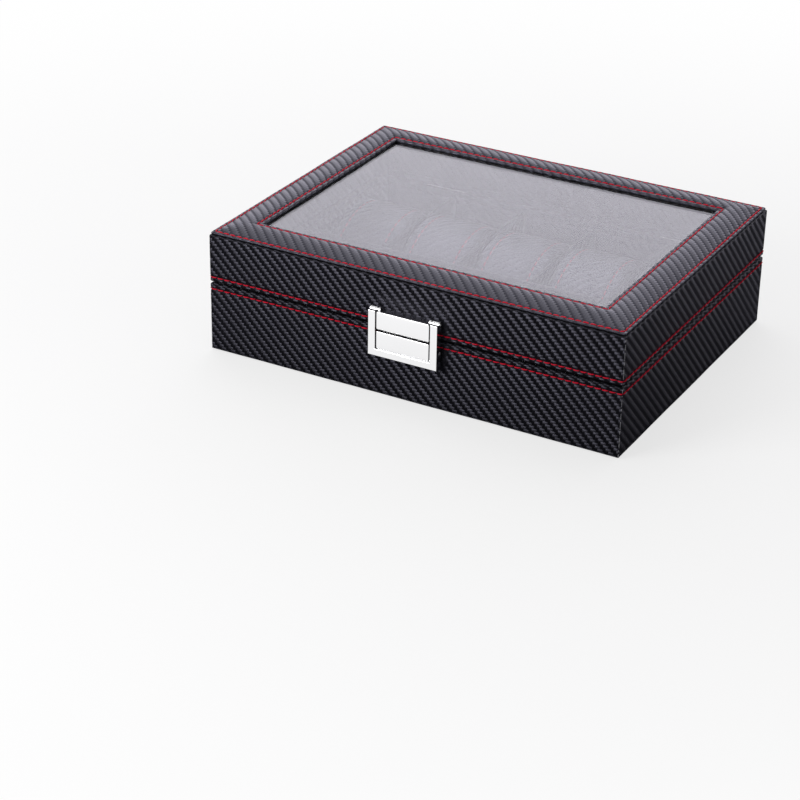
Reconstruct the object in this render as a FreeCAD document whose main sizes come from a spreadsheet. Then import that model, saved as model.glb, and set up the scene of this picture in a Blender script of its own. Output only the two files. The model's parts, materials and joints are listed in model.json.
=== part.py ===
import FreeCAD, Part
import Sketcher
import os
import re

# A watch box with ten places: a board box covered in leatherette, a padded lid with a glass window,
# two butt hinges at the back, a flip clasp at the front, slotted dividers and ten loose pillows.
# Millimetres. The origin is the centre of the underside, +Z is up and the clasp faces -Y.

SIZES = {
    # whole box
    "box_width": 260.0,
    "box_depth": 200.0,
    "box_height": 77.0,
    "base_height": 42.7,
    "parting_gap": 0.6,
    # boards and sheets
    "wall_board": 8.0,
    "floor_board": 3.0,
    "retainer_board": 1.2,
    "leather": 1.0,
    "lining": 0.8,
    "bottom_cover": 0.6,
    # leather edges
    "corner_round": 1.5,
    "rim_turn_in": 5.0,
    "bottom_turn_under": 12.0,
    "cover_inset": 4.0,
    "sheet_clearance": 0.1,
    # lid frame and window
    "frame_rail": 22.5,
    "frame_bevel_drop": 2.6,
    "frame_bevel_run": 7.0,
    "panel_inset": 0.7,
    "pad_edge_foam": 0.54,
    "pad_seam_foam": 0.12,
    "pad_shoulder_inset": 7.0,
    "pad_shoulder_foam": 0.57,
    "pad_crown_inset": 12.0,
    "pad_rise": 1.0,
    "pad_fall_inset": 17.0,
    "pad_fall_foam": 0.6,
    "pad_end_inset": 2.5,
    "stitch_inset": 2.7,
    "edge_roll": 0.8,
    "lip_roll": 1.0,
    "seam_groove": 0.5,
    "window_lip": 1.0,
    "glass_bite": 4.0,
    "glass_thickness": 2.0,
    "glass_play": 0.2,
    # dividers
    "columns": 5,
    "rows": 2,
    "divider_thickness": 3.6,
    "divider_drop": 4.0,
    "divider_clearance": 0.2,
    # pillows
    "pillow_side_gap": 1.2,
    "strap_gap": 6.2,
    "pillow_height": 36.0,
    "pillow_cover": 1.2,
    "pillow_seam_inset": 6.4,
    "pillow_rest_gap": 0.2,
    "pillow_core_gap": 0.3,
    # clasp bail
    "bail_width": 43.3,
    "bail_rail": 4.4,
    "bail_sill": 4.2,
    "bail_thickness": 1.7,
    "bail_gap": 0.2,
    "bail_top_rise": 0.6,
    "sill_overlap": 0.7,
    "bail_round": 0.5,
    "skirt_thickness": 1.2,
    "skirt_clearance": 1.5,
    "skirt_top_drop": 2.9,
    # clasp plates
    "plate_play": 0.7,
    "plate_proud": 4.6,
    "plate_wall": 1.2,
    "plate_split": 1.2,
    "plate_round": 0.5,
    "hinge_plate_height": 10.6,
    "catch_plate_height": 11.6,
    # clasp pivot
    "pivot_drop": 0.3,
    "pivot_proud": 2.5,
    "pivot_radius": 0.7,
    "pivot_end_gap": 0.3,
    "knuckle_radius": 1.8,
    "running_clearance": 0.05,
    # clasp catch spring
    "spring_thickness": 0.7,
    "spring_band": 5.0,
    "spring_reach": 4.0,
    "spring_gap": 0.55,
    "bump_radius": 1.2,
    "bump_sink": 0.2,
    "bump_proud": 2.8,
    # rivets of the clasp plates
    "rivet_spread": 20.0,
    "rivet_radius": 1.0,
    "rivet_head_radius": 2.4,
    "rivet_head": 0.8,
    "rivet_grip": 2.4,
    "boss_radius": 2.2,
    # hinges
    "hinge_spacing": 160.0,
    "hinge_length": 26.0,
    "leaf_reach": 7.5,
    "barrel_radius": 2.4,
    "barrel_gap": 0.3,
    "hinge_pin_radius": 1.0,
    "knuckle_length": 8.0,
    "knuckle_gap": 0.2,
    "stop_length": 1.0,
    "stop_angle": 60.0,
    "stop_start": 105.0,
    "lid_swing": 100.0,
    "stop_margin": 2.0,
    # hinge screws
    "screw_spread": 16.0,
    "screw_inset": 4.5,
    "screw_radius": 1.0,
    "screw_head_radius": 1.9,
    "screw_head": 0.8,
    "screw_length": 7.0,
    "screw_tip": 1.5,
    "screw_point_radius": 0.1,
    "screw_slot": 0.5,
}

doc = FreeCAD.newDocument("watch_box")
sheet = doc.addObject("Spreadsheet::Sheet", "Sizes")
for row, (alias, value) in enumerate(SIZES.items(), start=1):
    sheet.set(f"A{row}", alias)
    sheet.set(f"B{row}", str(value))
    sheet.setAlias(f"B{row}", alias)
doc.recompute()

COLUMNS = int(sheet.get("columns"))
ROWS = int(sheet.get("rows"))

# half sizes of the nested rectangles, from the outside in
HALF_X = "(box_width/2)"
HALF_Y = "(box_depth/2)"
BOARD_X = "(box_width/2 - leather)"
BOARD_Y = "(box_depth/2 - leather)"
INNER_X = "(box_width/2 - leather - wall_board)"
INNER_Y = "(box_depth/2 - leather - wall_board)"
FLAP_X = "(box_width/2 - 2*leather - wall_board)"
FLAP_Y = "(box_depth/2 - 2*leather - wall_board)"
CAVITY_X = f"({INNER_X} - lining)"
CAVITY_Y = f"({INNER_Y} - lining)"

# heights, from the bottom up
BOARD_LOW = "(bottom_cover + leather)"
FLOOR_TOP = f"({BOARD_LOW} + floor_board)"
INSIDE = f"({FLOOR_TOP} + lining)"
BASE_FLAP = "(base_height - rim_turn_in)"
BASE_BOARD_TOP = "(base_height - leather)"
PARTING = "(base_height + parting_gap/2)"
LID_RIM = "(base_height + parting_gap)"
LID_BOARD_LOW = f"({LID_RIM} + leather)"
LID_FLAP = f"({LID_RIM} + rim_turn_in)"
FRAME_TOP = "(box_height - leather - pad_rise)"
SEAM_LOW = f"({FRAME_TOP} - frame_bevel_drop)"
GLASS_TOP = f"({FRAME_TOP} - window_lip)"
GLASS_LOW = f"({GLASS_TOP} - glass_thickness)"
FRAME_LOW = f"({GLASS_LOW} - glass_play)"
RETAINER_LOW = f"({FRAME_LOW} - retainer_board)"
DIVIDER_TOP = "(base_height - divider_drop)"

# the places for the pillows
PLACE_X = f"((2*{CAVITY_X} - (columns - 1)*divider_thickness)/columns)"
PLACE_Y = f"((2*{CAVITY_Y} - (rows - 1)*divider_thickness)/rows)"
PITCH_X = f"({PLACE_X} + divider_thickness)"
PITCH_Y = f"({PLACE_Y} + divider_thickness)"

# turns that lay a shape's own Z axis along another axis
UPRIGHT = FreeCAD.Rotation()
POINT_DOWN = FreeCAD.Rotation(FreeCAD.Vector(1, 0, 0), 180)
POINT_FRONT = FreeCAD.Rotation(FreeCAD.Vector(1, 0, 0), 90)
ALONG_X = FreeCAD.Rotation(FreeCAD.Vector(1, 1, 1), 120)

# points nearer than this count as touching
TOUCH = 1e-6

subparts = {}


def formula(text):
    """The text with every size name pointing at its cell."""
    return re.sub(r"[a-z_]+", lambda word: f"Sizes.{word[0]}" if word[0] in SIZES else word[0], text)


def size(text):
    """The value of a formula at the sheet's sizes."""
    return float(sheet.evalExpression(formula(text)))


def tie(obj, prop, text):
    obj.setExpression(prop, formula(text))


def place(obj, at, turn=UPRIGHT):
    obj.Placement = FreeCAD.Placement(FreeCAD.Vector(), turn)
    for axis, text in zip("xyz", at):
        tie(obj, f"Placement.Base.{axis}", text)


def block(name, low, spans):
    """A box from its lowest corner and its three spans."""
    solid = doc.addObject("Part::Box", name)
    for prop, text in zip(("Length", "Width", "Height"), spans):
        tie(solid, prop, text)
    place(solid, low)
    return solid


def slab(name, half_x, half_y, low, high):
    """A box centred on the Z axis between two heights."""
    spans = (f"2*{half_x}", f"2*{half_y}", f"{high} - {low}")
    return block(name, (f"-{half_x}", f"-{half_y}", low), spans)


def frustum(name, half_x, half_y, low, high, run):
    """A box like slab's whose four sides lean in by run towards its top."""
    solid = doc.addObject("Part::Wedge", name)
    for axis, half in (("X", half_x), ("Z", half_y)):
        tie(solid, f"{axis}min", f"-{half}")
        tie(solid, f"{axis}max", half)
        tie(solid, f"{axis}2min", f"{run} - {half}")
        tie(solid, f"{axis}2max", f"{half} - {run}")
    tie(solid, "Ymin", low)
    tie(solid, "Ymax", high)
    place(solid, ("0", "0", "0"), POINT_FRONT)
    return solid


def rod(name, at, radius, length, turn=UPRIGHT, angle="360"):
    solid = doc.addObject("Part::Cylinder", name)
    tie(solid, "Radius", radius)
    tie(solid, "Height", length)
    tie(solid, "Angle", angle)
    place(solid, at, turn)
    return solid


def taper(name, at, start_radius, end_radius, length, turn=UPRIGHT):
    solid = doc.addObject("Part::Cone", name)
    tie(solid, "Radius1", start_radius)
    tie(solid, "Radius2", end_radius)
    tie(solid, "Height", length)
    place(solid, at, turn)
    return solid


def fuse(name, *solids):
    joined = doc.addObject("Part::MultiFuse", name)
    joined.Shapes = list(solids)
    joined.Refine = True
    return joined


def cut(name, solid, *tools):
    result = doc.addObject("Part::Cut", name)
    result.Base = solid
    result.Tool = tools[0] if len(tools) == 1 else fuse(f"{name}_tools", *tools)
    result.Refine = True
    return result


def group(name, *solids):
    """Separate solids that share one node."""
    together = doc.addObject("Part::Compound", name)
    together.Links = list(solids)
    return together


def round_edges(name, solid, radius, chosen):
    """The solid with the edges that the test chooses rounded."""
    doc.recompute()
    rounded = doc.addObject("Part::Fillet", name)
    rounded.Base = solid
    reach = size(radius)
    numbered = enumerate(solid.Shape.Edges, start=1)
    rounded.Edges = [(number, reach, reach) for number, edge in numbered if chosen(edge)]
    return rounded


def upright_edge(edge):
    return edge.BoundBox.ZLength > max(edge.BoundBox.XLength, edge.BoundBox.YLength)


def edge_on_front(y):
    """A test for the edges that lie in the plane at y."""
    return lambda edge: abs(edge.BoundBox.YMin - y) < TOUCH and abs(edge.BoundBox.YMax - y) < TOUCH


def hand_in(label, obj):
    obj.Label = label
    subparts[label] = obj
    return obj


def rectangle(body, name, role, at, spans):
    """A sketch of one rectangle, centred on its own origin, on a plane of the body."""
    sketch = body.newObject("Sketcher::SketchObject", name)
    plane = next(item for item in body.Origin.OriginFeatures if item.Role == role)
    sketch.AttachmentSupport = (plane, [""])
    sketch.MapMode = "FlatFace"
    for axis, text in zip("xyz", at):
        tie(sketch, f"AttachmentOffset.Base.{axis}", text)
    half_a = size(spans[0]) / 2
    half_b = size(spans[1]) / 2
    corners = [(-half_a, -half_b), (half_a, -half_b), (half_a, half_b), (-half_a, half_b)]
    points = [FreeCAD.Vector(a, b, 0) for a, b in corners]
    for start, end in zip(points, points[1:] + points[:1]):
        sketch.addGeometry(Part.LineSegment(start, end), False)
    for line in range(4):
        sketch.addConstraint(Sketcher.Constraint("Coincident", line, 2, (line + 1) % 4, 1))
        direction = "Horizontal" if line % 2 == 0 else "Vertical"
        sketch.addConstraint(Sketcher.Constraint(direction, line))
    sketch.addConstraint(Sketcher.Constraint("Symmetric", 0, 1, 1, 2, -1, 1))
    span_a = sketch.addConstraint(Sketcher.Constraint("DistanceX", 0, 1, 0, 2, 2 * half_a))
    span_b = sketch.addConstraint(Sketcher.Constraint("DistanceY", 1, 1, 1, 2, 2 * half_b))
    sketch.renameConstraint(span_a, "span_a")
    sketch.renameConstraint(span_b, "span_b")
    tie(sketch, "Constraints.span_a", spans[0])
    tie(sketch, "Constraints.span_b", spans[1])
    return sketch


def pad(body, name, sketch, length):
    feature = body.newObject("PartDesign::Pad", name)
    feature.Profile = sketch
    tie(feature, "Length", length)
    return feature


def pocket(body, name, sketch, length):
    """A cut from the sketch along its own normal."""
    feature = body.newObject("PartDesign::Pocket", name)
    feature.Profile = sketch
    feature.Reversed = True
    tie(feature, "Length", length)
    return feature


# hinge and clasp places that several pieces share
HINGE_AXIS_Y = f"({HALF_Y} + barrel_gap + barrel_radius)"
HINGE_CENTRES = {"left": "(-hinge_spacing/2)", "right": "(hinge_spacing/2)"}
LEAF_FRONT = f"({HALF_Y} - leaf_reach)"
SCREW_Y = f"({HALF_Y} - screw_inset)"
RIVET_CENTRES = ("(-rivet_spread/2)", "(rivet_spread/2)")
HINGE_PLATE_LOW = f"({PARTING} + plate_split/2)"
CATCH_PLATE_TOP = f"({PARTING} - plate_split/2)"
CATCH_PLATE_LOW = f"({CATCH_PLATE_TOP} - catch_plate_height)"
HINGE_RIVET_Z = f"({HINGE_PLATE_LOW} + hinge_plate_height/2)"
CATCH_RIVET_Z = f"({CATCH_PLATE_TOP} - catch_plate_height/2)"
PLATE_X = "(bail_width/2 - bail_rail - plate_play)"
PIVOT_Y = f"(-{HALF_Y} - pivot_proud)"
PIVOT_Z = f"({HINGE_PLATE_LOW} + hinge_plate_height - pivot_drop)"
BAIL_LOW = f"({CATCH_PLATE_LOW} + sill_overlap - bail_sill)"
BAIL_TALL = f"({PIVOT_Z} + bail_top_rise - {BAIL_LOW})"


def screw_centres():
    return [f"({centre} + {side}*screw_spread/2)" for centre in HINGE_CENTRES.values() for side in (-1, 1)]


def screw_holes(name, face, turn):
    """Bores in a wall board for the hinge screws, from the face that carries the leaf."""
    depth = "screw_length + screw_tip"
    return [
        rod(f"{name}_{number}", (x, SCREW_Y, face), "screw_radius + running_clearance", depth, turn)
        for number, x in enumerate(screw_centres(), start=1)
    ]


def rivet_holes(name, height):
    """Stepped bores through a front board and its leather for the clasp rivets."""
    tools = []
    for number, x in enumerate(RIVET_CENTRES, start=1):
        shank = "rivet_radius + running_clearance"
        head = "rivet_head_radius + running_clearance"
        through = "wall_board + 2*leather"
        seat = (x, f"-{INNER_Y}", height)
        tools.append(rod(f"{name}_{number}", seat, shank, through, POINT_FRONT))
        tools.append(rod(f"{name}_{number}_head", seat, head, "rivet_head", POINT_FRONT))
    return tools


def hinge_mortises(name, low):
    """Room in a leather rim for the hinge leaves."""
    return [
        block(
            f"{name}_{side}",
            (f"{centre} - hinge_length/2 - sheet_clearance", f"{LEAF_FRONT} - sheet_clearance", low),
            ("hinge_length + 2*sheet_clearance", "leaf_reach + 2*sheet_clearance", "leather"),
        )
        for side, centre in HINGE_CENTRES.items()
    ]


def wall_boards(part, low, high, front_tools, back_tools):
    """The four walls of the base or lid: long front and back boards, short side boards between them."""
    tall = f"{high} - {low}"
    long_spans = (f"2*{BOARD_X}", "wall_board", tall)
    short_spans = ("wall_board", f"2*{INNER_Y}", tall)
    front = block(f"{part}_front_blank", (f"-{BOARD_X}", f"-{BOARD_Y}", low), long_spans)
    back = block(f"{part}_back_blank", (f"-{BOARD_X}", INNER_Y, low), long_spans)
    hand_in(f"{part}_front_board", cut(f"{part}_front", front, *front_tools))
    hand_in(f"{part}_back_board", cut(f"{part}_back", back, *back_tools))
    hand_in(f"{part}_left_board", block(f"{part}_left", (f"-{BOARD_X}", f"-{INNER_Y}", low), short_spans))
    hand_in(f"{part}_right_board", block(f"{part}_right", (INNER_X, f"-{INNER_Y}", low), short_spans))


def wrap_blank(name, low, high):
    blank = slab(f"{name}_blank", HALF_X, HALF_Y, low, high)
    return round_edges(f"{name}_rounded", blank, "corner_round", upright_edge)


def board_ring(name, low, high):
    """The space of the wall boards between two heights."""
    outside = slab(f"{name}_outside", BOARD_X, BOARD_Y, low, high)
    inside = slab(f"{name}_inside", INNER_X, INNER_Y, low, high)
    return cut(name, outside, inside)


def wall_lining(part, low, high):
    outside = slab(f"{part}_lining_outside", INNER_X, INNER_Y, low, high)
    inside = slab(f"{part}_lining_inside", CAVITY_X, CAVITY_Y, low, high)
    hand_in(f"{part}_wall_lining", cut(f"{part}_lining", outside, inside))


# base

def build_base_boards():
    cover_x = f"({HALF_X} - cover_inset)"
    cover_y = f"({HALF_Y} - cover_inset)"
    hand_in("bottom_cover", slab("cover", cover_x, cover_y, "0", "bottom_cover"))
    hand_in("base_floor_board", slab("floor", INNER_X, INNER_Y, BOARD_LOW, FLOOR_TOP))
    rivets = rivet_holes("base_rivet_hole", CATCH_RIVET_Z)
    screws = screw_holes("base_screw_hole", BASE_BOARD_TOP, POINT_DOWN)
    wall_boards("base", BOARD_LOW, BASE_BOARD_TOP, rivets, screws)


def build_base_leather():
    window_x = f"({HALF_X} - bottom_turn_under)"
    window_y = f"({HALF_Y} - bottom_turn_under)"
    tools = [
        slab("base_wrap_room", BOARD_X, BOARD_Y, BOARD_LOW, BASE_FLAP),
        board_ring("base_wrap_rim", BASE_FLAP, BASE_BOARD_TOP),
        slab("base_wrap_mouth", FLAP_X, FLAP_Y, BASE_FLAP, LID_RIM),
        slab("base_wrap_window", window_x, window_y, "0", BOARD_LOW),
    ]
    tools += hinge_mortises("base_mortise", BASE_BOARD_TOP)
    tools += rivet_holes("base_wrap_hole", CATCH_RIVET_Z)
    blank = wrap_blank("base_wrap", "bottom_cover", "base_height")
    hand_in("base_leather_wrap", cut("base_wrap", blank, *tools))
    hand_in("base_floor_lining", slab("floor_lining", INNER_X, INNER_Y, FLOOR_TOP, INSIDE))
    wall_lining("base", INSIDE, BASE_FLAP)


def divider(label, role, half_length, at, slots, slot_pitch, slot_side):
    """An upright board, slotted to half its height from the top (slot_side 1) or the bottom (-1)."""
    tall = f"({DIVIDER_TOP} - {INSIDE})"
    middle = f"({INSIDE} + {tall}/2)"
    body = doc.addObject("PartDesign::Body", f"{label}_body")
    outline = rectangle(body, f"{label}_outline", role, ("0", middle, "-divider_thickness/2"),
                        (f"2*{half_length}", tall))
    pad(body, f"{label}_pad", outline, "divider_thickness")
    slot_spans = ("divider_thickness + 2*divider_clearance", f"{tall}/2 + divider_clearance")
    slot_at = (f"-{slot_pitch}*{slots - 1}/2", f"{middle} + {slot_side}*{tall}/4", "-divider_thickness/2")
    slot = rectangle(body, f"{label}_slot", role, slot_at, slot_spans)
    notch = pocket(body, f"{label}_notch", slot, "divider_thickness")
    if slots > 1:
        pattern = body.newObject("PartDesign::LinearPattern", f"{label}_notches")
        pattern.Originals = [notch]
        pattern.Direction = (slot, ["H_Axis"])
        pattern.Occurrences = slots
        tie(pattern, "Length", f"{slot_pitch}*{slots - 1}")
        body.Tip = pattern
    place(body, at)
    hand_in(label, body)


def build_dividers():
    long_half = f"({FLAP_X} - divider_clearance)"
    cross_half = f"({FLAP_Y} - divider_clearance)"
    divider("long_divider", "XZ_Plane", long_half, ("0", "0", "0"), COLUMNS - 1, PITCH_X, 1)
    for number in range(1, COLUMNS):
        x = f"({number} - columns/2)*{PITCH_X}"
        divider(f"cross_divider_{number}", "YZ_Plane", cross_half, (x, "0", "0"), ROWS - 1, PITCH_Y, -1)


# lid

def build_lid_boards():
    rivets = rivet_holes("lid_rivet_hole", HINGE_RIVET_Z)
    screws = screw_holes("lid_screw_hole", LID_BOARD_LOW, UPRIGHT)
    wall_boards("lid", LID_BOARD_LOW, FRAME_LOW, rivets, screws)
    edge = slab("frame_edge", BOARD_X, BOARD_Y, FRAME_LOW, SEAM_LOW)
    bevel = frustum("frame_bevel", BOARD_X, BOARD_Y, SEAM_LOW, FRAME_TOP, "frame_bevel_run")
    window_x = f"({HALF_X} - frame_rail + leather)"
    window_y = f"({HALF_Y} - frame_rail + leather)"
    window = slab("frame_window", window_x, window_y, FRAME_LOW, FRAME_TOP)
    rebate_x = f"({window_x} + glass_bite)"
    rebate_y = f"({window_y} + glass_bite)"
    rebate = slab("frame_rebate", rebate_x, rebate_y, FRAME_LOW, GLASS_TOP)
    hand_in("lid_frame_board", cut("frame", fuse("frame_solid", edge, bevel), window, rebate))


def build_window():
    """The glass, let into the frame board's rebate from below, and the lined card that holds it there."""
    glass_x = f"({HALF_X} - frame_rail + leather + glass_bite - glass_play)"
    glass_y = f"({HALF_Y} - frame_rail + leather + glass_bite - glass_play)"
    hand_in("lid_window_glass", slab("glass", glass_x, glass_y, GLASS_LOW, GLASS_TOP))
    body = doc.addObject("PartDesign::Body", "retainer_body")
    level = ("0", "0", RETAINER_LOW)
    outline = rectangle(body, "retainer_outline", "XY_Plane", level, (f"2*{INNER_X}", f"2*{INNER_Y}"))
    pad(body, "retainer_pad", outline, "retainer_board")
    window = ("(box_width - 2*frame_rail)", "(box_depth - 2*frame_rail)")
    opening = rectangle(body, "retainer_window", "XY_Plane", level, window)
    pocket(body, "retainer_window_cut", opening, "retainer_board")
    hand_in("lid_window_retainer", body)


def build_lid_leather():
    tools = [
        slab("lid_wrap_room", BOARD_X, BOARD_Y, LID_FLAP, "box_height"),
        board_ring("lid_wrap_rim", LID_BOARD_LOW, LID_FLAP),
        slab("lid_wrap_mouth", FLAP_X, FLAP_Y, "base_height", LID_FLAP),
    ]
    tools += hinge_mortises("lid_mortise", LID_RIM)
    tools += rivet_holes("lid_wrap_hole", HINGE_RIVET_Z)
    blank = wrap_blank("lid_wrap", LID_RIM, SEAM_LOW)
    hand_in("lid_side_leather", cut("lid_wrap", blank, *tools))
    wall_lining("lid", LID_FLAP, RETAINER_LOW)


def rail_point(inset, rise):
    """A point of the lid frame's section, measured in from the front face and up from the frame board."""
    return FreeCAD.Vector(0, inset - size(HALF_Y), size(FRAME_TOP) + rise)


def moulding(label, section):
    """A section in the plane X = 0, swept round the lid with mitred corners."""
    half_x = size(HALF_X)
    half_y = size(HALF_Y)
    level = size(FRAME_TOP)
    corners = [(0, -half_y), (half_x, -half_y), (half_x, half_y), (-half_x, half_y), (-half_x, -half_y)]
    path = Part.makePolygon([FreeCAD.Vector(x, y, level) for x, y in corners + corners[:1]])
    mitred = 1
    feature = doc.addObject("Part::Feature", f"{label}_ring")
    feature.Shape = path.makePipeShell([section], True, False, mitred)
    feature.Placement = FreeCAD.Placement()
    hand_in(label, feature)


def quarter_round(start, corner, end):
    """An arc from start to end that bulges towards the corner."""
    share = 1 - 0.5 ** 0.5
    middle = corner + (start - corner) * share + (end - corner) * share
    return Part.Arc(start, middle, end).toShape()


def board_rise(inset):
    """The frame board's top, against its level part: below it over the bevel and 0 behind that."""
    return min(0.0, size("frame_bevel_drop") * ((inset - size("leather")) / size("frame_bevel_run") - 1))


def build_padded_frame():
    """A foam pad on the frame board and the leather over it, a panel of its own above the side leather."""
    leather = size("leather")
    rail = size("frame_rail")
    rim = size("panel_inset")
    roll = size("edge_roll")
    lip_roll = size("lip_roll")
    foams = [
        (rim + leather, size("pad_edge_foam")),
        (size("stitch_inset"), size("pad_seam_foam")),
        (size("pad_shoulder_inset"), size("pad_shoulder_foam")),
        (size("pad_crown_inset"), size("pad_rise")),
        (size("pad_fall_inset"), size("pad_fall_foam")),
        (rail - size("pad_end_inset"), 0.0),
    ]
    top_of_pad = [rail_point(inset, board_rise(inset) + foam) for inset, foam in foams]
    bevel_end = size("leather + frame_bevel_run")
    pad_foot = [rail_point(bevel_end, 0), rail_point(rim + leather, board_rise(rim + leather))]
    moulding("lid_frame_padding", Part.makePolygon(top_of_pad + pad_foot + top_of_pad[:1]))

    foot = size("seam_groove - frame_bevel_drop")
    window_foot = size("sheet_clearance - window_lip")
    raise_by = FreeCAD.Vector(0, 0, leather)
    edge_top = board_rise(rim + leather) + size("pad_edge_foam") + leather
    roll_top = rail_point(rim + roll, edge_top)
    roll_side = rail_point(rim, edge_top - roll)
    lip_top = rail_point(rail - lip_roll, leather)
    lip_side = rail_point(rail, leather - lip_roll)
    outside = [roll_top] + [point + raise_by for point in top_of_pad[1:]] + [lip_top]
    inside = [rail_point(rail - leather, window_foot), rail_point(rail - leather, 0)]
    inside += top_of_pad[::-1] + [rail_point(rim + leather, foot), rail_point(rim, foot), roll_side]
    edges = Part.makePolygon(outside).Edges
    edges += [quarter_round(lip_top, rail_point(rail, leather), lip_side)]
    edges += Part.makePolygon([lip_side, rail_point(rail, window_foot)] + inside).Edges
    edges += [quarter_round(roll_side, rail_point(rim, edge_top), roll_top)]
    moulding("lid_top_leather", Part.Wire(edges))


# clasp

def clasp_plate(name, low, height, rear):
    """A shallow tray that opens towards the wall, with two bosses for its rivets."""
    front = f"(-{HALF_Y} - plate_proud)"
    deep = f"(plate_proud - {rear})"
    blank = block(f"{name}_blank", (f"-{PLATE_X}", front, low), (f"2*{PLATE_X}", deep, height))
    rounded = round_edges(f"{name}_rounded", blank, "plate_round", edge_on_front(size(front)))
    room = block(
        f"{name}_room",
        (f"plate_wall - {PLATE_X}", f"{front} + plate_wall", f"{low} + plate_wall"),
        (f"2*{PLATE_X} - 2*plate_wall", deep, f"{height} - 2*plate_wall"),
    )
    tray = cut(f"{name}_tray", rounded, room)
    bosses = [
        rod(f"{name}_boss_{number}", (x, f"-{HALF_Y} - {rear}", f"{low} + {height}/2"), "boss_radius",
            f"{deep} - plate_wall/2", POINT_FRONT)
        for number, x in enumerate(RIVET_CENTRES, start=1)
    ]
    bores = [
        rod(f"{name}_bore_{number}", (x, f"-{HALF_Y}", f"{low} + {height}/2"),
            "rivet_radius + running_clearance", "rivet_grip + running_clearance", POINT_FRONT)
        for number, x in enumerate(RIVET_CENTRES, start=1)
    ]
    return tray, bosses, bores


def clasp_rivets(label, height):
    rivets = []
    for number, x in enumerate(RIVET_CENTRES, start=1):
        seat = (x, f"-{INNER_Y}", height)
        head = rod(f"{label}_head_{number}", seat, "rivet_head_radius", "rivet_head", POINT_FRONT)
        shank = rod(f"{label}_shank_{number}", seat, "rivet_radius", "wall_board + leather + rivet_grip",
                    POINT_FRONT)
        rivets.append(fuse(f"{label}_{number}", head, shank))
    hand_in(label, group(f"{label}_group", *rivets))


def build_hinge_plate():
    """The lid's half of the clasp, with an ear at each top corner for the bail's pivot."""
    tray, bosses, bores = clasp_plate("hinge_plate", HINGE_PLATE_LOW, "hinge_plate_height", "0")
    ears = []
    for side, x in (("left", f"-{PLATE_X}"), ("right", f"{PLATE_X} - plate_wall")):
        ears.append(rod(f"ear_{side}", (x, PIVOT_Y, PIVOT_Z), "knuckle_radius", "plate_wall", ALONG_X))
    pivot_bore = rod("ear_bore", (f"-{PLATE_X}", PIVOT_Y, PIVOT_Z), "pivot_radius + running_clearance",
                     f"2*{PLATE_X}", ALONG_X)
    plate = fuse("hinge_plate_solid", tray, *ears, *bosses)
    hand_in("clasp_hinge_plate", cut("hinge_plate", plate, pivot_bore, *bores))
    clasp_rivets("clasp_hinge_rivets", HINGE_RIVET_Z)


def build_catch():
    """The base's half of the clasp: a tray riveted over a spring whose ears click into the bail."""
    tray, bosses, bores = clasp_plate("catch_plate", CATCH_PLATE_LOW, "catch_plate_height",
                                      "spring_thickness")
    plate = fuse("catch_plate_solid", tray, *bosses)
    hand_in("clasp_catch_plate", cut("catch_plate", plate, *bores))
    clasp_rivets("clasp_catch_rivets", CATCH_RIVET_Z)

    ear_x = "(bail_width/2 - skirt_thickness - spring_gap)"
    low = f"({CATCH_RIVET_Z} - spring_band/2)"
    strip = block("spring_strip", (f"-{ear_x}", f"-{HALF_Y} - spring_thickness", low),
                  (f"2*{ear_x}", "spring_thickness", "spring_band"))
    pieces = [strip]
    for side, x, bump in (
        ("left", f"-{ear_x}", f"bump_sink - {ear_x}"),
        ("right", f"{ear_x} - spring_thickness", f"{ear_x} - bump_sink"),
    ):
        spans = ("spring_thickness", "spring_reach", "spring_band")
        pieces.append(block(f"spring_ear_{side}", (x, f"-{HALF_Y} - spring_reach", low), spans))
        ball = doc.addObject("Part::Sphere", f"spring_bump_{side}")
        tie(ball, "Radius", "bump_radius")
        place(ball, (bump, f"-{HALF_Y} - bump_proud", CATCH_RIVET_Z))
        pieces.append(ball)
    holes = [
        rod(f"spring_hole_{number}", (x, f"-{HALF_Y}", CATCH_RIVET_Z), "rivet_radius + running_clearance",
            "spring_thickness", POINT_FRONT)
        for number, x in enumerate(RIVET_CENTRES, start=1)
    ]
    hand_in("clasp_catch_spring", cut("catch_spring", fuse("catch_spring_solid", *pieces), *holes))


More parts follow.
